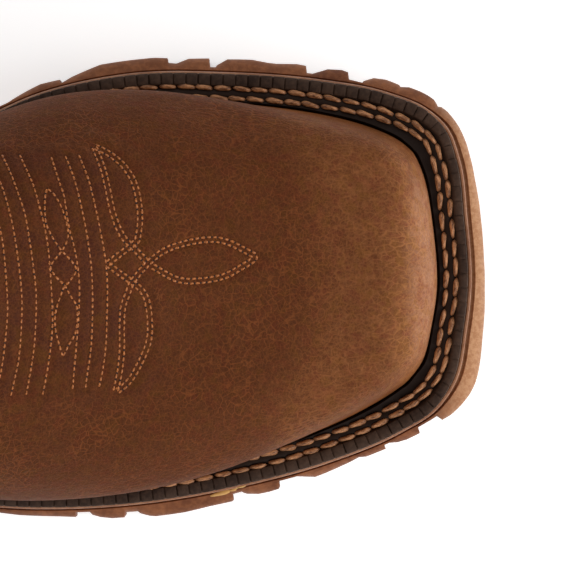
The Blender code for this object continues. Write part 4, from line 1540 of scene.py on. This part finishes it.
GLUE = Look("dried_glue", rgb(204, 158, 92), 0.4, Specular_IOR_Level=0.3).material
GLUE_WAY = (1.0, 0.27, 0.0)
GLUE_HEIGHT = 0.0007
GLUE_DIP = 0.0002
GLUE_DABS = (
    # column, row, length, width
    (221.0, 493.2, 0.0056, 0.0011),
    (233.5, 489.6, 0.0026, 0.0008),
    (241.5, 486.6, 0.0024, 0.0006),
)
rim_trees = (tree_of(bead), tree_of(skin))
for number, (px, py, length, width) in enumerate(GLUE_DABS):
    hits = met(under_pixel(found_tree, px, py) for found_tree in rim_trees)
    if hits:
        top = max(hits, key=lambda pair: pair[0].z)[0]
        stitch_row("glue_dab_%d" % number, [(top, GLUE_WAY, (0.0, 0.0, 1.0))],
                   (length, width, GLUE_HEIGHT, GLUE_DIP), GLUE, rings=13, sides=10, blunt=2.0)


# Camera, lights and floor

SENSOR = 36.0
camera = bpy.data.cameras.new("camera")
camera.sensor_width = SENSOR
camera.lens = SENSOR * (EYE.z - SOLE_LEVEL) / (PICTURE * PIXEL)
camera.clip_end = 20.0
viewer = add_object("camera", camera)
viewer.location = EYE
bpy.context.scene.camera = viewer

FLOOR = 4
floor_look = Look("pale_floor", rgb(250, 250, 250), 0.9, Specular_IOR_Level=0.0,
                  Emission_Color=(1.0, 1.0, 1.0, 1.0), Emission_Strength=0.5)
floor_mesh = bpy.data.meshes.new("floor")
corners = [(-FLOOR, -FLOOR, 0), (FLOOR, -FLOOR, 0), (FLOOR, FLOOR, 0), (-FLOOR, FLOOR, 0)]
floor_mesh.from_pydata(corners, [], [(0, 1, 2, 3)])
floor_mesh.materials.append(floor_look.material)
floor = add_object("floor", floor_mesh)

LAMPS = (
    # name, place, aim, width, height, power
    ("toe_light", (1.15, -0.15, 0.60), (0.11, 0.0, 0.04), 0.9, 0.5, 8.5),
    ("little_toe_light", (0.10, -1.20, 1.10), (0.05, 0.0, 0.05), 1.2, 0.9, 7.5),
    ("big_toe_light", (-0.20, 1.20, 1.20), (0.05, 0.0, 0.05), 1.2, 0.9, 4.5),
)
for name, place, aim, width, height, power in LAMPS:
    lamp = bpy.data.lights.new(name, "AREA")
    lamp.shape = "RECTANGLE"
    lamp.size = width
    lamp.size_y = height
    lamp.energy = power
    holder = add_object(name, lamp)
    holder.location = place
    aim_way = Vector(aim) - Vector(place)
    holder.rotation_euler = aim_way.to_track_quat("-Z", "Y").to_euler()

world = bpy.data.worlds.new("studio")
world.use_nodes = True
world.node_tree.nodes["Background"].inputs["Color"].default_value = (1.0, 1.0, 1.0, 1.0)
world.node_tree.nodes["Background"].inputs["Strength"].default_value = 0.34
bpy.context.scene.world = world
bpy.context.scene.view_settings.view_transform = "Standard"
